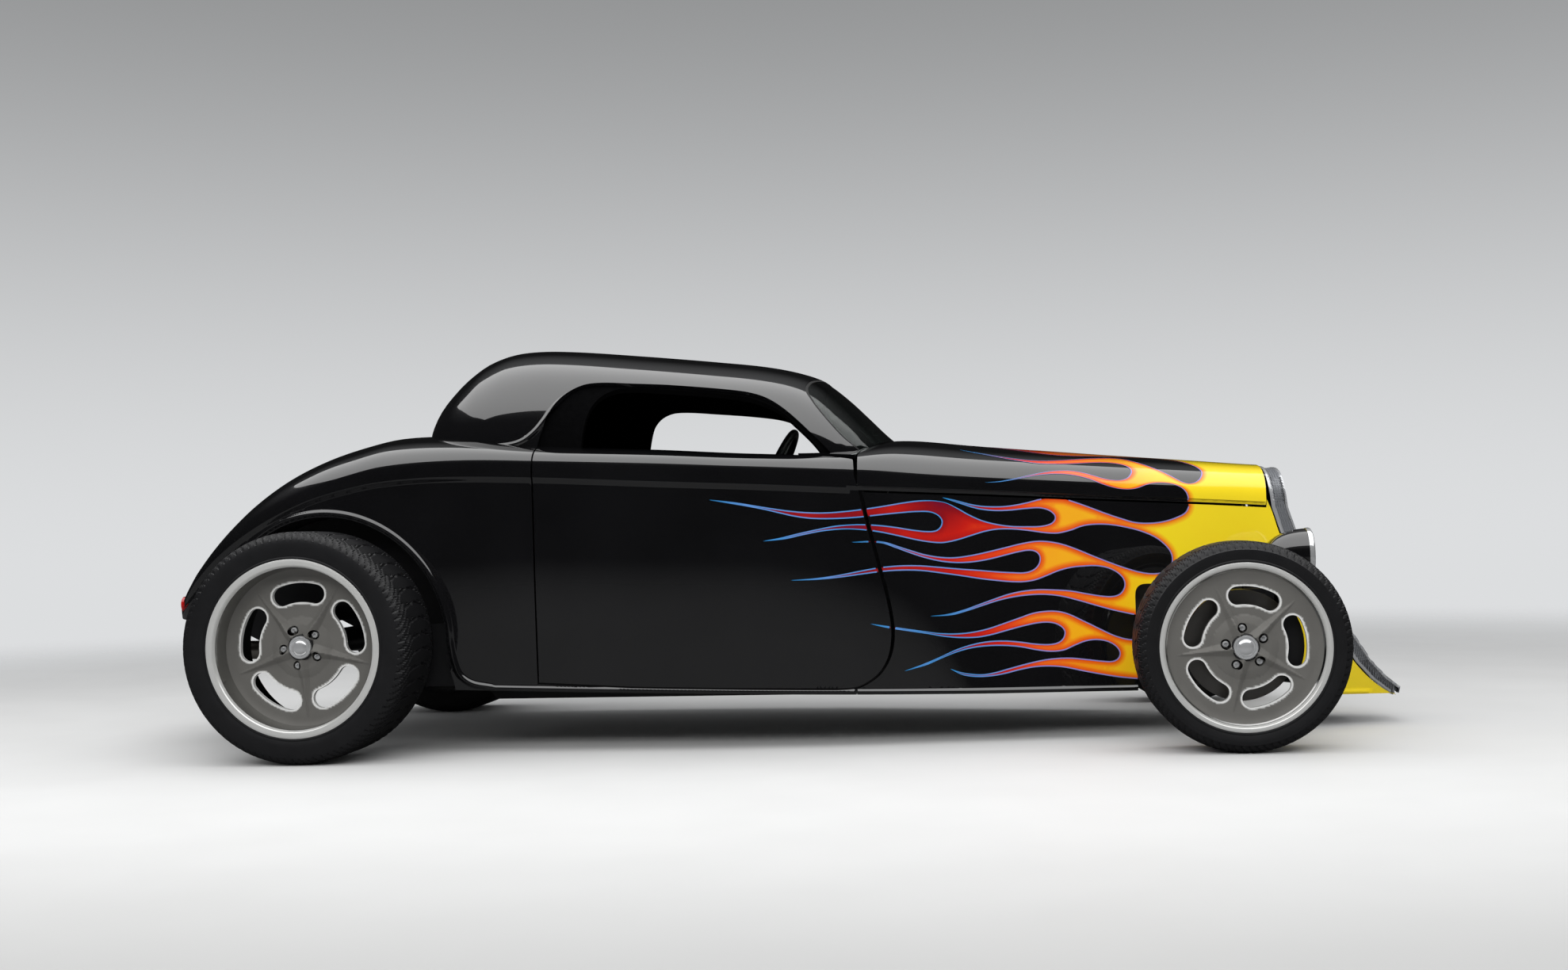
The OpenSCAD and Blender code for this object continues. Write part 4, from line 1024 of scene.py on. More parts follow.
def arc_slot(low, high, half_angle, middle):
    """A kidney slot with round ends, about a wheel's middle."""
    cap, centre = (high - low) / 2, (high + low) / 2
    ring = [(high, a) for a in np.linspace(-half_angle, half_angle, 14)]
    points = [(r * math.cos(a), r * math.sin(a)) for r, a in ring]
    for side, begin in ((1, 0), (-1, math.pi)):
        end = side * half_angle
        mid = (centre * math.cos(end), centre * math.sin(end))
        turn = [end + begin + math.radians(d) for d in range(10, 180, 10)]
        points += [(mid[0] + cap * math.cos(a), mid[1] + cap * math.sin(a)) for a in turn]
        if side == 1:
            points += [(low * math.cos(a), low * math.sin(a))
                       for a in np.linspace(half_angle, -half_angle, 12)]
    turn = np.array([[math.cos(middle), -math.sin(middle)], [math.sin(middle), math.cos(middle)]])
    return np.array(points) @ turn.T


def round_ring(radius, steps=120, at=(0, 0)):
    return np.array([(at[0] + radius * math.cos(a), at[1] + radius * math.sin(a))
                     for a in np.linspace(0, 2 * math.pi, steps, endpoint=False)])


PITCH_R, NUT_HOLE = 57.15, 15.0
for end, place, outer, width, rim, dish, first in (
        ("rear", (-1392, 357), 928, 300, 272, 92, 93.6), ("front", (1453, 310), 876, 236, 246, 30, 78.4)):
    lip_w = 15 if end == "front" else 22  # the front wheels carry a narrower polished lip
    face_r = rim - lip_w - 5
    size = (rim - 27) / 245
    slots = [arc_slot(139 * size, 199 * size, math.radians(18.5), math.radians(first + 72 * k))
             for k in range(5)]
    nuts = [(PITCH_R * math.cos(a), PITCH_R * math.sin(a))
            for a in np.radians(first + 20 + 72 * np.arange(5))]
    rib_angles = np.radians(first + 36 + 72 * np.arange(5))

    def face_depth(u, v):
        """How deep the wheel's face lies behind the tyre's outer side."""
        r = np.hypot(u, v)
        depth = dish - 9 * np.clip((95 - r) / 25, 0, 1) ** 0.8 - 7 * np.clip((r - face_r + 26) / 26, 0,
                                                                             1) ** 2
        for a in rib_angles:
            along, off = u * math.cos(a) + v * math.sin(a), np.abs(-u * math.sin(a) + v * math.cos(a))
            share = np.clip((218 * size - along) / (168 * size), 0, 1.0)
            half = 2 + 19 * share
            rise = 20 * share ** 0.8 * np.clip(1 - off / half, 0, 1)
            depth -= np.where((along > 36) & (share > 0), rise, 0)
        return depth

    for side, sign in (("right", -1), ("left", 1)):
        body_name = f"wheel_{end}_{side}"

        def wheel_face(u, v):
            return np.stack([place[0] + u * -sign, sign * (outer - face_depth(u * -sign, v)) + 0 * u,
                             place[1] + v], axis=-1)

        grid = np.arange(-face_r, face_r, 5.0)
        gu, gv = np.meshgrid(grid, grid)
        face_points = [np.stack([gu.ravel(), gv.ravel()], axis=-1)]
        for slot in slots:
            face_points += [slot * 1.0 + (slot - slot.mean(0)) * g for g in (0.05, 0.10)]
        for a in rib_angles:
            spine = np.arange(40, 218 * size, 4.0)
            half = 2 + 19 * np.clip((218 * size - spine) / (168 * size), 0, 1)
            for g in (-1.02, -1, 0, 1, 1.02):
                face_points.append(np.stack([spine * math.cos(a) - g * half * math.sin(a),
                                             spine * math.sin(a) + g * half * math.cos(a)], axis=-1))
        face_points = np.vstack(face_points) * (-sign, 1)
        cuts = [s * (-sign, 1) for s in slots] + [round_ring(NUT_HOLE, 24, n) * (-sign, 1) for n in nuts]
        every_slot = np.vstack([np.vstack([smooth(s, 3, closed=True)]) for s in slots]) * (-sign, 1)
        face = sheet_metal(
            f"{body_name}_casting", wheel_face, [round_ring(face_r + 1)], cuts, face_points, thick=17,
            near=2.2,
            values={"machined": lambda spots: 1 - np.clip((near_any(spots, every_slot) - 4.5) / 2.0, 0, 1)})
        dress(face, CAST_GREY, body_name, (f"wheel_{end}_{side}",))

        def out(d):
            return sign * (outer - d)

        lip = turned(f"{body_name}_lip", place, [(out(d), r) for d, r in (
            (12, rim - lip_w), (6, rim - lip_w + 3), (4, rim - lip_w + 6), (4, rim - 2), (7, rim + 3),
            (16, rim + 4),
            (22, rim - 2), (24, rim - 6), (24, rim - lip_w), (18, rim - lip_w - 2))], sides=128)
        dress(lip, POLISHED, body_name)
        well = turned(f"{body_name}_well", place, [(out(d), r) for d, r in (
            (18, rim - lip_w - 3), (24, rim - lip_w - 1), (dish + 8, rim - lip_w - 4),
            (dish + 8, rim - lip_w - 7),
            (dish - 8, rim - lip_w - 7))], sides=128)
        dress(well, BARREL, body_name)
        barrel = turned(f"{body_name}_barrel", place, [(out(d), r) for d, r in (
            (dish + 6, rim - 24), (width - 30, rim - 20), (width - 22, rim - 2), (width - 14, rim + 2),
            (width - 10, rim - 4),
            (width - 16, rim - 14), (width - 24, rim - 27), (dish + 9, rim - 30))], sides=96)
        dress(barrel, BARREL, body_name)
        hub = turned(f"{body_name}_hub", place, [(out(d), r) for d, r in (
            (dish + 60, 84), (dish + 10, 84), (dish + 10, 66), (dish + 8, 40), (dish - 17, 40),
            (dish - 20, 36),
            (dish - 20, 30), (dish + 60, 30))], sides=64)
        dress(hub, SHADOW_BLACK, body_name)
        cap = turned(f"{body_name}_cap", place, [(out(d), r) for d, r in (
            (dish + 4, 36), (dish - 20, 36), (dish - 25, 34), (dish - 26, 31), (dish - 23, 29),
            (dish - 24, 26),
            (dish - 31, 21), (dish - 35, 12), (dish - 36, 0.01))], sides=64, closed=False)
        dress(cap, CHROME_PAINTED_SHEEN, body_name)
        nut_parts = []
        for u, v in nuts:
            spot = (place[0] + u, place[1] + v)
            nut_parts.append(turned("nut", spot, [(out(d), r) for d, r in (
                (dish + 14, 9.5), (dish - 9, 9.5), (dish - 12, 7.5), (dish - 13, 5.0), (dish - 7, 4.2),
                (dish - 7, 0.01))], sides=24, closed=False, angle=25))
        bpy.ops.object.select_all(action="DESELECT")
        for part in nut_parts:
            part.select_set(True)
        bpy.context.view_layer.objects.active = nut_parts[0]
        bpy.ops.object.join()
        nut_parts[0].name = f"{body_name}_nuts"
        dress(nut_parts[0], CHROME_PAINTED_SHEEN, body_name)

# ---- Tyres ---------------------------------------------------------------------------------
# Low, wide radial tyres on the rims. Curved slashes are moulded across the tread and over
# the shoulders; the side walls carry plain raised rings and no lettering.
for end, place, outer, width, rim, radius, slashes in (
        ("rear", (-1392, 357), 928, 300, 272, 357, 46), ("front", (1453, 310), 876, 236, 246, 310, 42)):
    half = width / 2
    side_wall = [(9, rim - 3), (5, rim + 2), (4, rim + 6), (5.5, rim + 9), (3, rim + 16), (1.0, rim + 26)]
    wall_top = [(0.5, rim + (radius - rim) * 0.45), (1.2, rim + (radius - rim) * 0.60), (3.2, radius - 24),
                (6.5, radius - 17), (11, radius - 11.5), (17, radius - 7), (24, radius - 4), (33, radius - 2)]
    tread = [(d, radius - 0.9 * ((half - d) / half) ** 2) for d in np.linspace(40, half, 16)]
    section = side_wall + wall_top + tread
    section = section + [(width - d, r) for d, r in section[::-1][1:]]
    inner = [(width - 20, rim - 4), (width - 26, rim + 8), (26, rim + 8), (20, rim - 4)]
    section = np.array(section + inner)
    steps = 760
    angles = np.linspace(0, 2 * math.pi, steps, endpoint=False)
    depth, r = section[:, 0][None, :], section[:, 1][None, :]
    across = (depth - half) / half
    carry = (r > radius - 20) & (depth > 6) & (depth < width - 6)
    pattern = 0 * angles[:, None] + 0 * r
    for slant, offset, low, high in ((0.17, 0.0, 0.30, 0.985), (0.17, 0.5, 0.62, 1.0),
                                     (0.10, 0.25, 0.05, 0.45)):
        for hand in (-1, 1):
            reach = across * hand
            phase = (angles[:, None] + slant * (reach ** 2) * 1.4
                     + (0.5 / slashes if hand < 0 else 0)) / (2 * math.pi) * slashes + offset
            gap = np.abs(phase - np.round(phase)) * 2 * math.pi * radius / slashes
            pattern = np.maximum(pattern, (gap < 3.2) * (reach > low) * (reach < high))
    groove = np.abs(np.abs(across) - 0.22) < 0.024
    r = r - 5.5 * np.maximum(pattern, groove) * carry
    for side, sign in (("right", -1), ("left", 1)):
        x = place[0] + r * np.cos(angles)[:, None]
        z = np.maximum(place[1] + r * np.sin(angles)[:, None], 0.0)
        y = sign * (outer - depth) + 0 * r
        verts = np.stack([x, y, z], axis=-1).reshape(-1, 3) / 1000
        m = len(section)
        i, j = np.meshgrid(np.arange(steps), np.arange(m), indexing="ij")
        a, b = i * m + j, ((i + 1) % steps) * m + j
        c, d = ((i + 1) % steps) * m + (j + 1) % m, i * m + (j + 1) % m
        quads = np.stack([a, b, c, d], axis=-1).reshape(-1, 4)
        if sign > 0:
            quads = quads[:, ::-1]
        name = f"tyre_{end}_{side}_tread"
        mesh = bpy.data.meshes.new(name)
        mesh.from_pydata(verts.tolist(), [], quads.tolist())
        tyre = bpy.data.objects.new(name, mesh)
        bpy.context.scene.collection.objects.link(tyre)
        bpy.ops.object.select_all(action="DESELECT")
        tyre.select_set(True)
        bpy.context.view_layer.objects.active = tyre
        bpy.ops.object.shade_smooth_by_angle(angle=math.radians(32))
        dress(tyre, TYRE_RUBBER, f"wheel_{end}_{side}", (f"tyre_{end}_{side}",))

# ---- Grille --------------------------------------------------------------------------------
# A plated surround stands on the body's front edge and carries upright grey slats, which wrap
# from its face round its sides. It opens into a dark duct before the radiator.
NOSE_LINE = np.array([(1618, 900), (1624, 800), (1634, 719), (1664, 628), (1706, 540), (1762, 432),
                      (1836, 310),
                      (1905, 207), (1958, 150), (2008, 112), (2050, 80)], float)


def nose_x(z):
    """How far forward the body's front edge lies at each height."""
    return np.interp(z, NOSE_LINE[::-1, 1], NOSE_LINE[::-1, 0])


def grille_skin(x, t):
    """The surround: its first stretch is a plain rim, and the rest is drawn in ribs."""
    base = plain_body(np.clip(x, -2062, 2062.4), t)
    behind = x - nose_x(base[..., 2])
    rim = 4.0 * np.clip(1 - ((behind - 9) / 8) ** 2, 0, 1)
    ribs = -5.0 + 3.5 * np.cos((behind - 24) * 2 * np.pi / 8) * (behind > 16)
    swell = np.where(behind < 17.5, rim, np.where(behind < 50, ribs, 1.5))
    return base + slope_of(plain_body, np.clip(x, -2061, 2061), t) * swell[..., None]


GRILLE_GREY = finish("satin_grille_metal", (0.30, 0.31, 0.33), 0.36, metal=0.35, vary=0.12, grain=30,
                     spread=0.08)
PLATE = finish("nose_chrome", (0.66, 0.67, 0.69), 0.18, metal=0.6, vary=0.04, grain=12, spread=0.03)
edge_z = np.concatenate([np.arange(900, 160, -9.0), np.arange(160, 80, -6.0)])
crown_x = 1618.0
for part, first, last, coat in (("rim", 3.0, 17.5, PLATE), ("side_slats", 17.5, 50.0, GRILLE_GREY),
                                ("front_edge", 50.0, 57.0, PLATE)):
    def nose_run(shift):
        """The nose line moved forward, from the middle of the crown down to the sill."""
        low = [(x, z) for x, z in zip(nose_x(edge_z) + shift, edge_z) if z < 822 and x < 2060
               and z > float(curve(BODY, x, SILL_Z))]
        side = on_side(low)
        crown_t = np.arange(0, side[0, 1], -14.0)
        crown = np.stack([np.interp(crown_t, (side[0, 1], 0), (side[0, 0], crown_x + shift)), crown_t],
                         axis=-1)
        foot_x = side[-1, 0] + 3
        foot = (foot_x, float(-(QUARTER + curve(BODY, foot_x, BELT_Z) - curve(BODY, foot_x, SILL_Z))))
        return np.vstack([crown, side, [foot]])
    back, front = nose_run(first), nose_run(last)
    band = np.vstack([mirrored(back), mirrored(front)[::-1]])
    fill = np.vstack([np.vstack([nose_run(s)[:-1], nose_run(s)[:-1] * (1, -1)])
                      for s in np.arange(first + 1, last, 1.0)])
    strip = sheet_metal("grille_" + part, grille_skin, [band], [], fill, thick=9, near=0.7)
    dress(strip, coat, "body",
          ("grille_shell",) if part == "rim" else ())

# The upright slats in the opening, each a thin bar bent to the nose's sweep
SLAT_PITCH, SLAT_THICK, SLAT_DEEP = 15.0, 4.0, 14.0
made, faces = [], []
for k in range(-12, 13):
    y = k * SLAT_PITCH
    run = []
    for z in np.arange(146, 832, 12.0):
        x = float(nose_x(z)) + 50
        room = abs(float(plain_body(x, float(body_t(x, z)))[1])) if z < float(curve(BODY, x,
                                                                                    TOP_Z)) - 3 else 0
        if room - 9 > abs(y) and x < 2055:
            run.append((x, z))
    if len(run) < 3:
        continue
    count = len(made)
    for x, z in run:
        made += [(x, y - SLAT_THICK / 2, z), (x, y + SLAT_THICK / 2, z),
                 (x - SLAT_DEEP, y + SLAT_THICK / 2, z),
                 (x - SLAT_DEEP, y - SLAT_THICK / 2, z)]
    for i in range(len(run) - 1):
        a = count + 4 * i
        faces += [(a + j, a + 4 + j, a + 4 + (j + 1) % 4, a + (j + 1) % 4) for j in range(4)]
    last = count + 4 * (len(run) - 1)
    faces += [(count, count + 1, count + 2, count + 3), (last + 3, last + 2, last + 1, last)]
mesh = bpy.data.meshes.new("grille_slats")
mesh.from_pydata((np.array(made) / 1000).tolist(), [], faces)
slats = bpy.data.objects.new("grille_slats", mesh)
bpy.context.scene.collection.objects.link(slats)
set_right = bmesh.new()
set_right.from_mesh(mesh)
bmesh.ops.recalc_face_normals(set_right, faces=set_right.faces)
set_right.to_mesh(mesh)
set_right.free()
dress(slats, GRILLE_GREY, "body")


def coat_nodes(material, *names):
    """Gives CAD parts whose shape already is the real one their finish."""
    for name in names:
        mesh = bpy.data.objects[name].data
        mesh.materials.clear()
        mesh.materials.append(material)


coat_nodes(SHADOW_BLACK, "grille_bars")

# ---- Headlights ----------------------------------------------------------------------------
# Spun steel buckets in gloss black, with a plated ring round a clear glass lens, each on a
# short stalk from the frame.
LENS = bpy.data.materials.new("lamp_glass")
LENS.use_nodes = True
shader = LENS.node_tree.nodes["Principled BSDF"]
start = Wire(LENS.node_tree)
flute = start.node("TexWave", {}, {"Vector": start.node("TexCoord", out="Object"), "Scale": 26.0})
LENS.node_tree.links.new(flute.mixed((0.86, 0.90, 0.92, 1), (0.93, 0.95, 0.96, 1)).socket,
                         shader.inputs["Base Color"])
LENS.node_tree.links.new((flute * 0.1 + 0.04).socket, shader.inputs["Roughness"])
shader.inputs["Coat Weight"].default_value = 1.0
LAMP = (1712, 432, 565)


def along_x(piece, place):
    """Turns a piece made about the y axis at the origin to face forward, and puts it in place."""
    piece.data.transform(Matrix.Translation(Vector(place) / 1000) @ Matrix.Rotation(-math.pi / 2, 4, "Z"))


for side, sign in (("right", -1), ("left", 1)):
    place = (LAMP[0], sign * LAMP[1], LAMP[2])
    bucket = turned(f"headlight_bucket_{side}", (0, 0), [(y, r) for y, r in (
        (-2, 80), (-2, 84), (-14, 84), (-28, 82.5), (-44, 80), (-62, 76), (-80, 70), (-98, 61), (-114, 49),
        (-128, 34), (-138, 18), (-142, 0.01))], sides=96, closed=False)
    along_x(bucket, place)
    dress(bucket, GLOSS_BLACK, "body", ("headlights",) if side == "right" else ())
    ring = turned(f"headlight_ring_{side}", (0, 0), [(y, r) for y, r in (
        (-6, 86), (3, 87), (8, 85), (11, 80), (9, 74), (4, 72), (0, 74), (-4, 82))], sides=96)
    along_x(ring, place)
    dress(ring, CHROME_PAINTED_SHEEN, "body")
    lens = turned(f"headlight_lens_{side}", (0, 0), [(y, r) for y, r in (
        (2, 75), (5, 72), (11, 60), (15, 42), (17, 22), (18, 0.01))], sides=64, closed=False)
    along_x(lens, place)
    dress(lens, LENS, "body")
    y0 = abs(float(plain_body(1642.0, float(body_t(1642.0, 565.0)))[1])) + 6
    stalk = turned(f"headlight_stalk_{side}", (1642, 565),
                   [(sign * y, 15) for y in (y0, 372)] + [(sign * 374, 0.01)],
                   sides=32, closed=False)
    dress(stalk, GLOSS_BLACK, "body")

# ---- Tail lamps, plate bracket -------------------------------------------------------------
# Two round red lenses let into the tail, and a bare black bracket for the plate.
LAMP_RED = bpy.data.materials.new("lamp_red")
LAMP_RED.use_nodes = True
shader = LAMP_RED.node_tree.nodes["Principled BSDF"]
start = Wire(LAMP_RED.node_tree)
rings = start.node("TexNoise", {}, {"Vector": start.node("TexCoord", out="Object"), "Scale": 120.0})
LAMP_RED.node_tree.links.new(rings.mixed((0.30, 0.004, 0.004, 1), (0.50, 0.012, 0.010, 1)).socket,
                             shader.inputs["Base Color"])
shader.inputs["Roughness"].default_value = 0.12
shader.inputs["Coat Weight"].default_value = 1.0
coat_nodes(LAMP_RED, "tail_lights")
CHASSIS_BLACK = finish("satin_chassis_black", (0.010, 0.010, 0.011), 0.38, vary=0.3, grain=20, bump=0.0003)
coat_nodes(CHASSIS_BLACK, "plate_bracket", "chassis_frame", "fuel_tank", "front_suspension_right",
           "front_suspension_left", "wheel_tubs", "knuckle_right", "knuckle_left", "rear_axle")
# A thin black plate ahead of each rear wheel fills the gap under the body with painted shade, where the
# background would show; it stands for no part.
SHADE_PLATE_X, SHADE_PLATE_Y, SHADE_PLATE_Z, SHADE_PLATE_SIZE = -1.035, 0.598, 0.31, (0.15, 0.004, 0.20)  # metres
for side, sign in (("right", -1), ("left", 1)):
    bpy.ops.mesh.primitive_cube_add(size=1, location=(SHADE_PLATE_X, sign * SHADE_PLATE_Y, SHADE_PLATE_Z), scale=SHADE_PLATE_SIZE)
    shade_plate = bpy.context.object
    shade_plate.name = shade_plate.data.name = f"painted_shade_plate_{side}"
    bpy.ops.object.transform_apply()
    dress(shade_plate, CHASSIS_BLACK, "body")

# ---- Engine, exhaust and drive -------------------------------------------------------------
# A cast alloy engine and gearbox, an alloy radiator, steel exhaust pipes and a steel shaft,
# all seen only from below and through the suspension openings.
ENGINE = finish("cast_engine_alloy", (0.34, 0.34, 0.33), 0.45, metal=0.8, vary=0.2, grain=16, bump=0.0006,
                bump_grain=300)
coat_nodes(ENGINE, "engine_block", "radiator")
EXHAUST = finish("exhaust_steel", (0.42, 0.40, 0.37), 0.30, metal=1.0, vary=0.2, grain=9, spread=0.12)
coat_nodes(EXHAUST, "exhaust_pipes", "propeller_shaft")

# ---- Brakes --------------------------------------------------------------------------------
# Iron discs with plain black calipers, seen through the wheels' slots.
DISC = finish("brake_iron", (0.30, 0.29, 0.28), 0.34, metal=0.9, vary=0.15, grain=40, bump=0.0002,
              bump_grain=900)
coat_nodes(DISC, "brake_disc_front_right", "brake_disc_front_left")
CALIPER = finish("caliper_black", (0.012, 0.012, 0.013), 0.35, vary=0.2, grain=40)
for side, sign in (("right", -1), ("left", 1)):
    knuckle_low, knuckle_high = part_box("brake_disc_front_" + side)
    disc_r = (knuckle_high[0] - knuckle_low[0]) / 2 * 1000
    disc_y = (abs(knuckle_low[1]) + abs(knuckle_high[1])) / 2 * 1000
    ring = np.array([(r * math.cos(a), r * math.sin(a)) for r, angles in (
        (disc_r + 16, np.radians(np.arange(-34, 35, 4))), (disc_r - 62, np.radians(np.arange(34, -35, -4))))
        for a in angles])
    caliper = sheet_metal(
        f"front_caliper_{side}", lambda u,
        v: np.stack([1453 + u * -sign, sign * (disc_y + 34) + 0 * u, 310 + v], axis=-1),
        [ring * (-sign, 1)], [], round_ring(disc_r - 20, 40), thick=18)
    dress(caliper, CALIPER, "knuckle_" + side)

# ---- Seats ---------------------------------------------------------------------------------
# Two bucket seats in black leather over foam: a cushion, a leaning back and a head rest. Each
# swells between its sewn edges, with channels stitched across it.
LEATHER = finish("black_seat_leather", (0.016, 0.015, 0.015), 0.42, vary=0.25, grain=14, bump=0.0009,
                 bump_grain=520)
SEAT_Y, SWELL_LIMIT = 340.0, 12.0  # millimetres


def swollen(piece):
    """Fills the pad with air, as foam fills its cover, and keeps the swelling small."""
    start_at = np.empty(len(piece.data.vertices) * 3)
    piece.data.vertices.foreach_get("co", start_at)
    bpy.ops.object.select_all(action="DESELECT")
    piece.select_set(True)
    bpy.context.view_layer.objects.active = piece
    cloth = piece.modifiers.new("cover", "CLOTH")
    cloth.settings.use_pressure = True
    cloth.settings.uniform_pressure_force = 4.0
    cloth.settings.effector_weights.gravity = 0
    cloth.settings.quality = 5
    cloth.point_cache.frame_start, cloth.point_cache.frame_end = 1, 20
    for number in range(1, 21):
        bpy.context.scene.frame_set(number)
    bpy.ops.object.modifier_apply(modifier="cover")
    bpy.context.scene.frame_set(1)
    after = np.empty_like(start_at)
    piece.data.vertices.foreach_get("co", after)
    moved = (after - start_at).reshape(-1, 3)
    length = np.linalg.norm(moved, axis=1, keepdims=True)
    moved *= np.minimum(1, SWELL_LIMIT / 1000 / np.maximum(length, 1e-9))
    piece.data.vertices.foreach_set("co", (start_at.reshape(-1, 3) + moved).ravel())
    piece.data.update()


def pad(name, size, place, lean, channels, across):
    """A stuffed pad: a rounded block, remeshed, filled, then sewn down along its channels."""
    bpy.ops.object.select_all(action="DESELECT")
    bpy.ops.mesh.primitive_cube_add(size=1)
    piece = bpy.context.object
    piece.name = piece.data.name = name
    piece.scale = [(s - 14) / 1000 for s in size]
    bpy.ops.object.transform_apply()
    bevel = piece.modifiers.new("corners", "BEVEL")
    bevel.width, bevel.segments = min(size) * 0.3 / 1000, 5
    bpy.ops.object.modifier_apply(modifier="corners")
    remesh = piece.modifiers.new("even", "REMESH")
    remesh.mode, remesh.voxel_size = "VOXEL", 0.007
    bpy.ops.object.modifier_apply(modifier="even")
    swollen(piece)
    co = np.empty(len(piece.data.vertices) * 3)
    piece.data.vertices.foreach_get("co", co)
    co = co.reshape(-1, 3) * 1000
    half = np.array(size) / 2
    along = co[:, across]
    pitch = size[across] / (channels + 1)
    phase = np.abs((along + half[across]) / pitch - np.round((along + half[across]) / pitch)) * pitch
    sewn = np.exp(-(phase / 7.0) ** 2) * (np.abs(along) < half[across] - pitch
                                          * 0.6) * (np.abs(co[:, 1]) < half[1] - 62)
    border = np.exp(-((half[1] - 62 - np.abs(co[:, 1])) / 6.0) ** 2)
    top = co[:, 2] > 0
    crown = (1 - (co[:, 0] / half[0]) ** 2) * (1 - (co[:, 1] / half[1]) ** 2)
    bolster = np.clip((np.abs(co[:, 1]) - half[1] + 75) / 40, 0,
                      1) * np.clip((half[1] - np.abs(co[:, 1])) / 20, 0, 1)
    co[:, 2] += top * (crown * 5 - sewn * 7 - border * 6 + bolster * 4 - 3)
    piece.data.vertices.foreach_set("co", (co / 1000).ravel())
    piece.data.transform(Matrix.Translation(Vector(place) / 1000) @ Matrix.Rotation(math.radians(lean), 4,
                                                                                    "Y"))
    finer = piece.modifiers.new("finer", "SUBSURF")
    finer.levels = finer.render_levels = 1
    bpy.ops.object.modifier_apply(modifier="finer")
    bpy.ops.object.shade_smooth()
    piece.select_set(False)
    return piece


cushion = pad("seat_cushion_right", (490, 462, 104), (-310, -SEAT_Y, 311), 0, 4, 0)
squab = pad("seat_back_right", (430, 462, 98), (-606, -SEAT_Y, 596), 76, 4, 0)
rest = pad("head_rest_right", (122, 214, 72), (-681, -SEAT_Y, 828), 76, 0, 0)
for side in ("left", "right"):
    for first, name in ((cushion, "seat_cushion_"), (squab, "seat_back_"), (rest, "head_rest_")):
        piece = first
        if side == "left":
            piece = first.copy()
            piece.data = first.data.copy()
            piece.name = piece.data.name = name + side
            bpy.context.scene.collection.objects.link(piece)
            piece.data.transform(Matrix.Translation((0, 2 * SEAT_Y / 1000, 0)))
        dress(piece, LEATHER, "body", ("seat_" + side,) if name == "seat_cushion_" else ())

# ---- Dashboard and steering ----------------------------------------------------------------
# A black dashboard with two round dials, and a leather-bound steering wheel on three polished
# spokes at the end of a sloping column.
coat_nodes(LINING, "dashboard", "floor_pan")
coat_nodes(CHASSIS_BLACK, "steering_column")
COLUMN, COLUMN_TILT = (-45, 345, 890), math.radians(26)
to_column = (Matrix.Translation(Vector(COLUMN) / 1000) @ Matrix.Rotation(COLUMN_TILT, 4, "Y")
             @ Matrix.Rotation(-math.pi / 2, 4, "Z"))
bpy.ops.object.select_all(action="DESELECT")
bpy.ops.mesh.primitive_torus_add(major_radius=0.165, minor_radius=0.014, major_segments=96, minor_segments=20,
                                 rotation=(math.pi / 2, 0, 0))
grip = bpy.context.object
grip.name = grip.data.name = "steering_wheel_grip"
bpy.ops.object.transform_apply()
bpy.ops.object.shade_smooth()
grip.data.transform(to_column)
dress(grip, LEATHER, "steering_wheel", ("steering_wheel",))
boss = turned("steering_wheel_boss", (0, 0), [(y, r) for y, r in (
    (10, 44), (-4, 46), (-10, 42), (-14, 34), (-18, 30), (-20, 22), (-21, 0.01))], sides=64, closed=False)
boss.data.transform(to_column)
dress(boss, LINING, "steering_wheel")
spokes = []
for angle in (-90, 30, 150):
    bpy.ops.object.select_all(action="DESELECT")
    bpy.ops.mesh.primitive_cube_add(size=1)
    spoke = bpy.context.object
    spoke.scale = (0.122, 0.005, 0.030)
    spoke.location = (0.099, 0, 0)
    bpy.ops.object.transform_apply()
    bpy.ops.object.mode_set(mode="EDIT")
    bpy.ops.mesh.select_all(action="SELECT")
    bpy.ops.mesh.bevel(offset=0.002, segments=2)
    bpy.ops.object.mode_set(mode="OBJECT")
    spoke.data.transform(Matrix.Rotation(math.radians(angle), 4, "Y"))
    spokes.append(spoke)
bpy.ops.object.select_all(action="DESELECT")
for spoke in spokes:
    spoke.select_set(True)
bpy.context.view_layer.objects.active = spokes[0]
bpy.ops.object.join()
spokes[0].name = "steering_wheel_spokes"
spokes[0].data.transform(to_column)
dress(spokes[0], POLISHED, "steering_wheel")
DIAL = finish("dial_face", (0.55, 0.54, 0.50), 0.4, vary=0.1, grain=60)
for k, (y, r) in enumerate(((290, 52), (400, 52), (-60, 38), (60, 38))):
    dial = turned(f"dial_{k}", (0, 0),
                  [(d, q) for d, q in ((0, r), (-6, r), (-8, r - 2), (-6, r - 5), (-3, r - 6), (-3, 0.01))],
                  sides=48, closed=False)
    dial.data.transform(Matrix.Translation((0.243, y / 1000, 0.792)) @ Matrix.Rotation(math.radians(6), 4,
                                                                                       "Y")
                        @ Matrix.Rotation(-math.pi / 2, 4, "Z"))
    dress(dial, DIAL, "body")

# ---- Studio --------------------------------------------------------------------------------
# A pale floor under a wide soft ceiling light, with a softer panel behind the camera. Towards the camera the
# floor's colour is painted darker, as painted shade.
bpy.ops.mesh.primitive_plane_add(size=60, location=(0, 0, 0))
floor = bpy.context.object
floor.name = "studio_floor"
bpy.ops.object.transform_apply()
FLOOR = finish("pale_floor", (0.80, 0.80, 0.80), 0.6, vary=0.03, grain=1.5)
start = Wire(FLOOR.node_tree)
seen = start.node("LightPath", out="Is Camera Ray")
where = start.node("TexCoord", out="Object")
far_off = start.node("VectorMath", {"operation": "LENGTH"}, {0: where}, out="Value")
grit = start.node("TexNoise", {}, {"Vector": where, "Scale": 3.0, "Detail": 6.0})
shiny = start.node("LightPath", out="Is Glossy Ray")
forward = start.node("SeparateXYZ", {}, {"Vector": where}, out="Y")
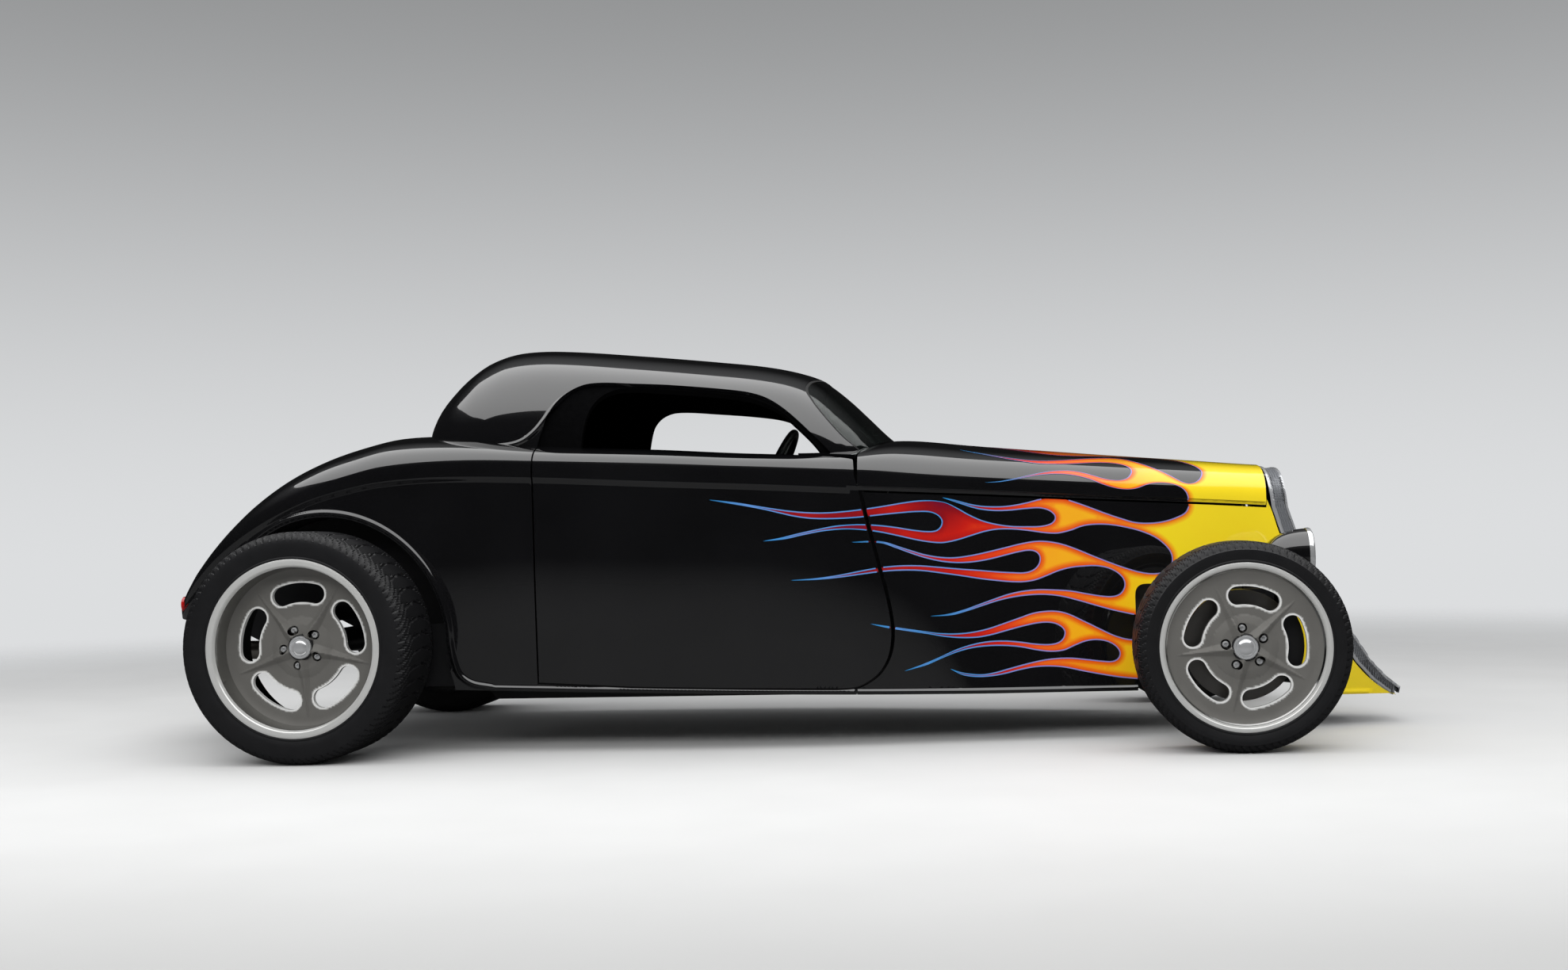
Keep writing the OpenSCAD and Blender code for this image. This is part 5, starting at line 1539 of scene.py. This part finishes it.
pale = grit.mixed((0.69, 0.69, 0.685, 1), (0.74, 0.74, 0.735, 1))
# Painted shade: the floor seen by the camera darkens to 0.38 towards the camera, between y -1.6 and -4.2 m.
pale = forward.step(-4.2, -1.6).mixed((0.38, 0.38, 0.376, 1), pale)
tone = seen.mixed(shiny.mixed((0.42, 0.42, 0.42, 1), (0.06, 0.06, 0.06, 1)), pale)
shader = FLOOR.node_tree.nodes["Principled BSDF"]
FLOOR.node_tree.links.new(tone.socket, shader.inputs["Base Color"])
fade = start.node("MixShader", {}, {0: far_off.step(3.2, 9.0), 1: Wire(FLOOR.node_tree, shader.outputs[0]),
                                    2: start.node("BsdfTransparent")})
FLOOR.node_tree.links.new(fade.socket, FLOOR.node_tree.nodes["Material Output"].inputs["Surface"])
floor.data.materials.append(FLOOR)


def panel_light(name, place, turn, size, power, mirrored=True):
    lamp = bpy.data.lights.new(name, "AREA")
    lamp.shape, lamp.size, lamp.size_y, lamp.energy = "RECTANGLE", size[0], size[1], power
    made = bpy.data.objects.new(name, lamp)
    made.location = place
    made.rotation_euler = [math.radians(a) for a in turn]
    made.visible_glossy = mirrored
    bpy.context.scene.collection.objects.link(made)


panel_light("ceiling_light", (0, -1.3, 4.2), (0, 0, 0), (11, 6.2), 295)
panel_light("front_light", (-1.0, -7.5, 4.2), (58, 0, 0), (9, 2.2), 330, mirrored=False)

world = bpy.data.worlds.new("studio")
bpy.context.scene.world = world
world.use_nodes = True
tree = world.node_tree
start = Wire(tree)
sky = start.node("TexCoord", out="Generated")
up = start.node("SeparateXYZ", {}, {"Vector": sky}, out="Z")
seen = start.node("LightPath", out="Is Camera Ray")
shiny = start.node("LightPath", out="Is Glossy Ray")
gloss = up.step(0.40, 0.9) * 0.20 + 0.008
wall = 0.74 - up.step(-0.02, 0.36) * 0.47
level = seen * wall + (1 - seen) * (shiny * gloss + (1 - shiny) * 0.50)
back = tree.nodes["Background"]
tree.links.new(level.socket, back.inputs["Strength"])
back.inputs["Color"].default_value = (0.97, 0.985, 1, 1)

camera = bpy.data.objects.new("camera", bpy.data.cameras.new("camera"))
bpy.context.scene.collection.objects.link(camera)
bpy.context.scene.camera = camera
turn, tilt, roll = (math.radians(a) for a in (-5.92, -0.08, -1.37))
flat = Vector((math.sin(turn), math.cos(turn), 0))
across = Vector((math.cos(turn), -math.sin(turn), 0))
upright = Vector((0, 0, 1))
ahead = flat * math.cos(tilt) - upright * math.sin(tilt)
above = upright * math.cos(tilt) + flat * math.sin(tilt)
right = across * math.cos(roll) + above * math.sin(roll)
top = above * math.cos(roll) - across * math.sin(roll)
camera.matrix_world = Matrix.Translation((0.685, -6.030, 0.679)) @ Matrix((right, top,
                                                                           -ahead)).transposed().to_4x4()
camera.data.sensor_width = 36
camera.data.lens = 36 * 2200 / 1978
camera.data.shift_x = -0.0076
camera.data.shift_y = 0.0278
camera.data.clip_end = 200
bpy.context.scene.view_settings.view_transform = "Standard"
